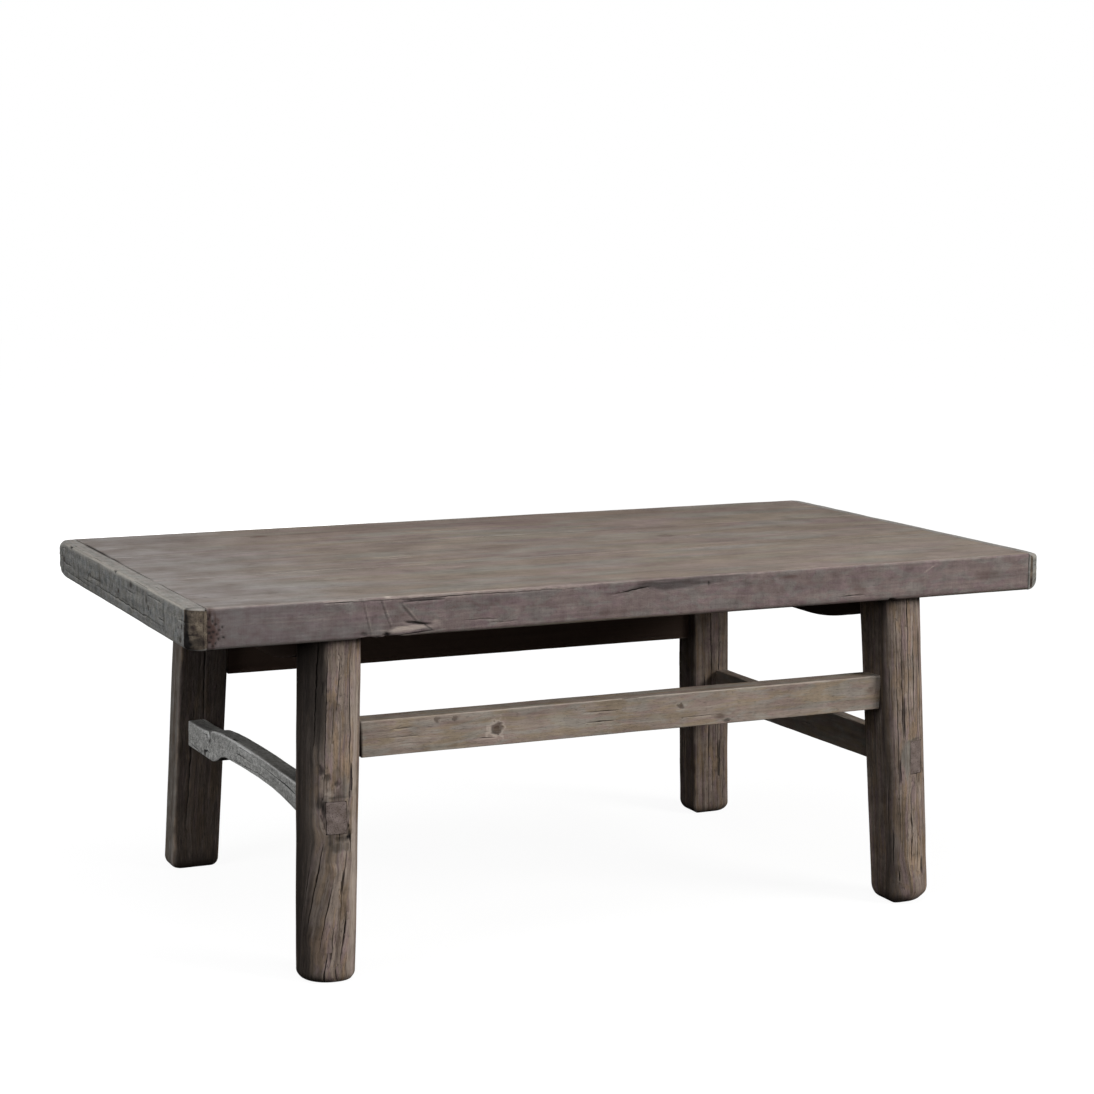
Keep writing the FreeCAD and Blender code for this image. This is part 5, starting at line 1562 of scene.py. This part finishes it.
        # Back-left leg: the stain on its front face is painted shade under the top.
        self.legs["back_left"] = Leg(
            "leg_back_left", "leg_back_left", **calm, seed=97, side_x=-1, side_y=1, inset=(192.0, 51.5),
            splay=(22.5, 13.0), top_side=71.0, foot_side=69.0, inner_radius=5.0, side_radius=5.5,
            outer_radius=36.0, foot_round=13.0, foot_worn=10.0, mortise=(-440.85, -414.55, 181.85, 221.15),
            face_tones_and_shade=((Side.FRONT, 0.72, 0.0), (Side.LEFT, 0.0, 0.9)),
            checks=[Check(None, 41.6, 238, 280, 1.0, 2.4), Check(None, 53.1, 200, 246, 1.0, 2.4),
                    Check(None, 45.0, 40, 150, 1.0, 2.4, slant=4), Check(None, 80, 60, 240, 1.0, 2.4, slant=5),
                    Check(None, 100, 180, 390, 1.0, 2.4, slant=-4)])
        # Back-right leg: the stain on its left and front faces is painted shade under the table.
        self.legs["back_right"] = Leg(
            "leg_back_right", "leg_back_right", **shared, seed=109, side_x=1, side_y=1, inset=(198.0, 51.5),
            splay=(5.5, -1.0), top_side=66.5, foot_side=65.0, inner_radius=5.0, side_radius=18.0,
            outer_radius=34.0, foot_round=14.0, foot_worn=18.0, foot_back=0.1, mortise=(408.85, 429.15, 177.35, 229.15),
            face_tones_and_shade=((Side.LEFT, 0.55, 0.0), (Side.FRONT, 0.4, 0.0)),
            checks=[Check(None, -94.1, 70, 190, 0.9, 3.0, slant=1), Check(None, -78.0, 60, 300, 0.7, 2.6, slant=3),
                    Check(None, -88.0, 200, 400, 0.7, 2.6, slant=-3), Check(None, -68, 20, 120, 0.7, 2.2, slant=2)])

    def long_stretchers(self) -> list[LongStretcher]:
        """The front and back stretchers."""
        shared = {"slot": "stretcher_wood", "axis": Axis.LENGTH, "finish": STRETCHER_ELM, "arris": (0.8, 0.8),
                  "radii": (1.6, 1.4, 1.6, 2.0), "first": 1, "hewing": 0.6, "ridges": 0.16}
        front = LongStretcher(
            "stretcher_front", "stretcher_front", **shared, start=-373.9, stop=373.2, seed=127, row=1.5,
            low_y=-294.5, high_y=-258.5, low_z=272.5, high_z=319.0, lean=(-0.04, 0.05),
            step={Side.FRONT: 1.1, Side.TOP: 1.8, Side.UNDER: 3.0, Side.BACK: 3.0}, wander=2.0, small_checks=8,
            knots=[Knot(Side.FRONT, 294.5, -191.2, 6.0, 0.7, 0.8), Knot(Side.FRONT, 312, -272.5, 3.0, 0.6),
                   Knot(Side.FRONT, 312, -248.3, 3.0, 0.6), Knot(Side.FRONT, 302, 69.6, 3.2, 0.6, 0.3)],
            marks=[Mark(Side.FRONT, 283.7, 127.4, (5, 9), stain=0.5), Mark(Side.FRONT, 318.5, 0, (1.0, 380), wear=0.7),
                   Mark(Side.FRONT, 276, 138, (3, 5), depth=1.5, edge=3, crevice=0.6),
                   # A dark band at the left shoulder: painted shadow of the gap between the shoulder and the leg.
                   Mark(Side.FRONT, 296, -374, (40, 2.6), edge=4, ragged=0.1, crevice=0.95),
                   Mark(Side.FRONT, 286, -300, (1.0, 20), edge=3, crevice=0.3, lean=0.08),
                   Mark(Side.FRONT, 309, 364, (7, 9), edge=3, grey=0.9),
                   Mark(Side.FRONT, 296, 210, (40, 250), ragged=0.0, stain=0.15),
                   Mark(Side.FRONT, 300, 357, (4, 6), stain=0.4)])
        # Back stretcher: the dark stain on its front and under faces is painted shade under the top.
        back = LongStretcher(
            "stretcher_back", "stretcher_back", **shared, start=-376.5, stop=370.0, seed=131, row=3.0, rub=0.1,
            face_tones_and_shade=((Side.FRONT, 1.0, 0.0), (Side.UNDER, 0.8, 0.0)),
            low_y=262.0, high_y=298.0, low_z=279.5, high_z=325.5, lean=(-0.05, 0.01),
            step={Side.FRONT: 1.8, Side.TOP: 2.5, Side.UNDER: 2.5, Side.BACK: 2.2}, wander=2.0, small_checks=16)
        return [front, back]

    def end_stretchers(self) -> list[EndStretcher]:
        """The crooked left stretcher and the straight right one."""
        # Left end stretcher: the stain on its top, inner and under faces is painted shade under the top.
        left = EndStretcher(
            "stretcher_end_left", "stretcher_end_left", "weathered_stretcher_wood", Axis.DEPTH, -326.0, 325.0,
            GREY_ELM, TENON_GRAIN, radii=(2.0, 2.0, 2.5, 3.0), first=1, seed=149, row=1.4, arris=(0.6, 0.6),
            face_tones_and_shade=((Side.TOP, 0.6, 0.0), (Side.RIGHT, 0.6, 0.0), (Side.UNDER, 0.6, 0.0)), rub=0.9,
            step={Side.LEFT: 1.2, Side.TOP: 1.4, Side.UNDER: 1.8, Side.RIGHT: 2.4}, hewing=0.8, ridges=0.35,
            wander=1.5, small_checks=30, face_x=-434.25, turn=-0.02014, thickness=26.0,
            upper=((-331, 227.5), (-230, 228), (-187, 229.5), (-130, 230.5), (-70, 231.8), (0, 232.3), (50, 232),
                   (100, 230.3), (132, 227.5), (145, 225), (152, 212.5), (154, 212.5), (161, 222), (192, 220.5),
                   (250, 220), (331, 220)),
            under=((-331, 187), (-250, 187), (-206, 191), (-150, 197.8), (-110, 201), (-60, 202.3), (20, 201.3),
                   (80, 200), (100, 196.5), (118, 188), (140, 182), (331, 182)),
            soften=(0.8, 5.0), front_leg=self.legs["front_left"], back_leg=self.legs["back_left"],
            checks=[Check(Side.LEFT, 209, -120, 60, 0.7, 1.4, slant=4),
                    Check(Side.LEFT, 203, 170, 250, 0.7, 1.4, slant=-4),
                    Check(Side.LEFT, 219, -200, -60, 0.6, 1.4, slant=-3)],
            marks=[Mark(Side.LEFT, 228.5, 152.5, (5, 4.5), depth=1.5, edge=3, crevice=0.9, ragged=0.7),
                   # A pale line along the upper arris: rubbed wear and a painted highlight.
                   Mark(Side.LEFT, 231.4, 0, (1.7, 330), edge=3, wear=0.9, ragged=0.3),
                   Mark(Side.LEFT, 206, -190, (40, 110), edge=1, stain=0.25),
                   Mark(Side.TOP, -433, 152, (8, 2.5), edge=3, crevice=0.8, ragged=0.6),
                   Mark(Side.LEFT, 224, -20, (2.5, 60), edge=2, wear=0.3, ragged=0.7)])
        # Right end stretcher: the stain on its inner face paints the shade under the table; its outer face carries the
        # same stain.
        right = EndStretcher(
            "stretcher_end_right", "stretcher_end_right", "stretcher_wood", Axis.DEPTH, -325.0, 319.0,
            STRETCHER_ELM, TENON_GRAIN, radii=(1.6, 1.6, 1.8, 1.8), first=1, seed=157, row=3.0,
            face_tones_and_shade=((Side.LEFT, 0.3, 0.0), (Side.RIGHT, 0.3, 0.0)), arris=(0.6, 0.6),
            step={Side.LEFT: 1.4, Side.TOP: 1.8, Side.UNDER: 2.2, Side.RIGHT: 1.8}, hewing=0.7, ridges=0.25,
            wander=2.0, small_checks=18, face_x=409.0, turn=0.0, thickness=20.0,
            upper=((-331, 229), (331, 229)), under=((-331, 183.5), (-250, 183.5), (250, 177.5), (331, 177.5)),
            front_leg=self.legs["front_right"], back_leg=self.legs["back_right"])
        return [left, right]

    def rails(self) -> list[CrossRail]:
        """The rails under the two ends of the top."""
        # The rails' stained faces and their overall darkening are painted shade under the top.
        shared = {"slot": "stretcher_wood", "axis": Axis.DEPTH, "finish": STRETCHER_ELM, "row": 3.0,
                  "radii": (2.0, 2.0, 1.5, 1.5), "first": 3, "hewing": 0.6, "ridges": 0.2, "small_checks": 4,
                  "face_tones_and_shade": ((Side.LEFT, 0.95, 0.0), (Side.RIGHT, 0.9, 0.0), (Side.UNDER, 0.9, 0.0)), "rub": 0.1,
                  "step": {Side.LEFT: 2.0, Side.RIGHT: 2.0, Side.UNDER: 2.0, Side.TOP: 8.0}}
        return [
            CrossRail("cross_rail_left", "cross_rail_left", **shared, start=-241.4, stop=243.4, seed=163,
                      centre_x=-408.6),
            CrossRail("cross_rail_right", "cross_rail_right", **shared, start=-242.0, stop=245.6, seed=173,
                      centre_x=402.4),
        ]

    def build(self) -> None:
        """Builds every piece under the top."""
        self.make_legs()
        pieces = [*self.legs.values(), *self.long_stretchers(), *self.end_stretchers(), *self.rails()]
        for piece in pieces:
            piece.build()


@dataclass
class Studio:
    """A pale floor that runs into the backdrop, a wide light overhead, a side light and the camera.

    Attributes:
        place: the camera's place, in m.
        yaw, pitch, roll: its turns, in degrees.
        focal: its focal length for a 36 mm wide frame, in mm.
        lights: each light's name, place, aim, size, colour and share of the full light.
    """

    place: tuple[float, float, float] = (-1.3766949828, -3.0943164767, 0.9517160787)
    yaw: float = 24.13022
    pitch: float = 7.97195
    roll: float = 0.110354
    focal: float = 80.8369
    lights: tuple[tuple[str, tuple, tuple, float, str, float], ...] = (
        ("overhead", (-0.3, -0.4, 3.0), (0.0, 0.0, 0.4), 2.6, "#FFFFFF", 0.85),
        ("key", (3.0, -3.3, 2.3), (0.1, -0.1, 0.25), 1.8, "#FFFCF8", 0.74),
        ("left_fill", (-3.2, -0.8, 1.5), (-0.3, 0.0, 0.3), 1.8, "#FBFCFF", 0.48),
        ("front_fill", (-0.9, -3.6, 1.2), (0.0, 0.0, 0.25), 2.0, "#FFFFFF", 0.15),
        ("back_fill", (0.5, 3.9, 0.5), (0.0, 0.0, 0.3), 1.2, "#FFFFFF", 0.3),
    )

    def hang_light(self, name: str, place: tuple, aim: tuple, size: float, colour: str, share: float) -> None:
        """Hangs one square light whose light on a surface that faces it is a share of full white.

        Args:
            name: the light's name.
            place: where it hangs, in m.
            aim: what it points at, in m.
            size: its side, in m.
            colour: its sRGB colour.
            share: its strength at what it points at.
        """
        lamp = bpy.data.lights.new(name, "AREA")
        away = Vector(place) - Vector(aim)
        lamp.shape, lamp.size = "SQUARE", size
        lamp.color = linear(colour)[:3]
        lamp.energy = share * math.pi ** 2 * away.length_squared
        hung = bpy.data.objects.new(name, lamp)
        hung.location = place
        hung.rotation_euler = away.to_track_quat("Z", "Y").to_euler()
        hung.visible_glossy = name != "back_fill"
        bpy.context.scene.collection.objects.link(hung)

    def lay_floor(self) -> None:
        """Lays the pale floor. It glows nearly white, so that only a faint shadow shows under the table."""
        shape = bmesh.new()
        bmesh.ops.create_circle(shape, cap_ends=True, segments=96, radius=14.0)
        mesh = bpy.data.meshes.new("floor")
        shape.to_mesh(mesh)
        shape.free()
        paint = bpy.data.materials.new("matt_white_floor")
        paint.use_nodes = True
        tree = paint.node_tree
        shader = tree.nodes["Principled BSDF"]
        place = add(tree, "ShaderNodeTexCoord").outputs["Object"]
        away = add(tree, "ShaderNodeVectorMath", {0: place}, operation="LENGTH").outputs["Value"]
        glow = add(tree, "ShaderNodeMapRange", {
            "Value": away, "From Min": 0.9, "From Max": 2.4, "To Min": 0.93, "To Max": 1.0}).outputs["Result"]
        tree.links.new(glow, shader.inputs["Emission Strength"])
        shader.inputs["Base Color"].default_value = (0.12, 0.12, 0.12, 1.0)
        shader.inputs["Roughness"].default_value = 1.0
        shader.inputs["Specular IOR Level"].default_value = 0.0
        shader.inputs["Emission Color"].default_value = (1.0, 1.0, 1.0, 1.0)
        mesh.materials.append(paint)
        floor = bpy.data.objects.new("floor", mesh)
        bpy.context.scene.collection.objects.link(floor)
        floor.visible_diffuse = False
        floor.visible_glossy = False

    def paint_world(self) -> None:
        """A white backdrop that only the camera sees."""
        world = bpy.data.worlds.new("backdrop")
        bpy.context.scene.world = world
        world.use_nodes = True
        world.node_tree.nodes["Background"].inputs["Color"].default_value = (1.0, 1.0, 1.0, 1.0)
        seen = world.cycles_visibility
        seen.diffuse = seen.glossy = seen.transmission = seen.scatter = False

    def set_camera(self) -> None:
        """Stands the camera where the photograph was taken from."""
        yaw, pitch, roll = (math.radians(turn) for turn in (self.yaw, self.pitch, self.roll))
        ahead = Vector((math.sin(yaw) * math.cos(pitch), math.cos(yaw) * math.cos(pitch), -math.sin(pitch)))
        level = Vector((math.cos(yaw), -math.sin(yaw), 0.0))
        upright = level.cross(ahead)
        right = level * math.cos(roll) + upright * math.sin(roll)
        up = upright * math.cos(roll) - level * math.sin(roll)
        view = bpy.data.cameras.new("photo_view")
        view.sensor_fit, view.sensor_width, view.lens = "HORIZONTAL", 36.0, self.focal
        view.clip_start, view.clip_end = 0.05, 60.0
        camera = bpy.data.objects.new("photo_view", view)
        turned = Matrix((right, up, -ahead)).transposed().to_4x4()
        camera.matrix_world = Matrix.Translation(Vector(self.place)) @ turned
        bpy.context.scene.collection.objects.link(camera)
        bpy.context.scene.camera = camera

    def build(self) -> None:
        """Sets up the whole studio."""
        self.set_camera()
        self.lay_floor()
        self.paint_world()
        for light in self.lights:
            self.hang_light(*light)
        bpy.context.scene.view_settings.view_transform = "Standard"


def main() -> None:
    """Builds the studio, the top and the underframe, in that order."""
    logging.basicConfig(level=logging.INFO, format="%(message)s")
    Studio().build()
    TableTop().build()
    Underframe().build()


if __name__ == "__main__":
    main()
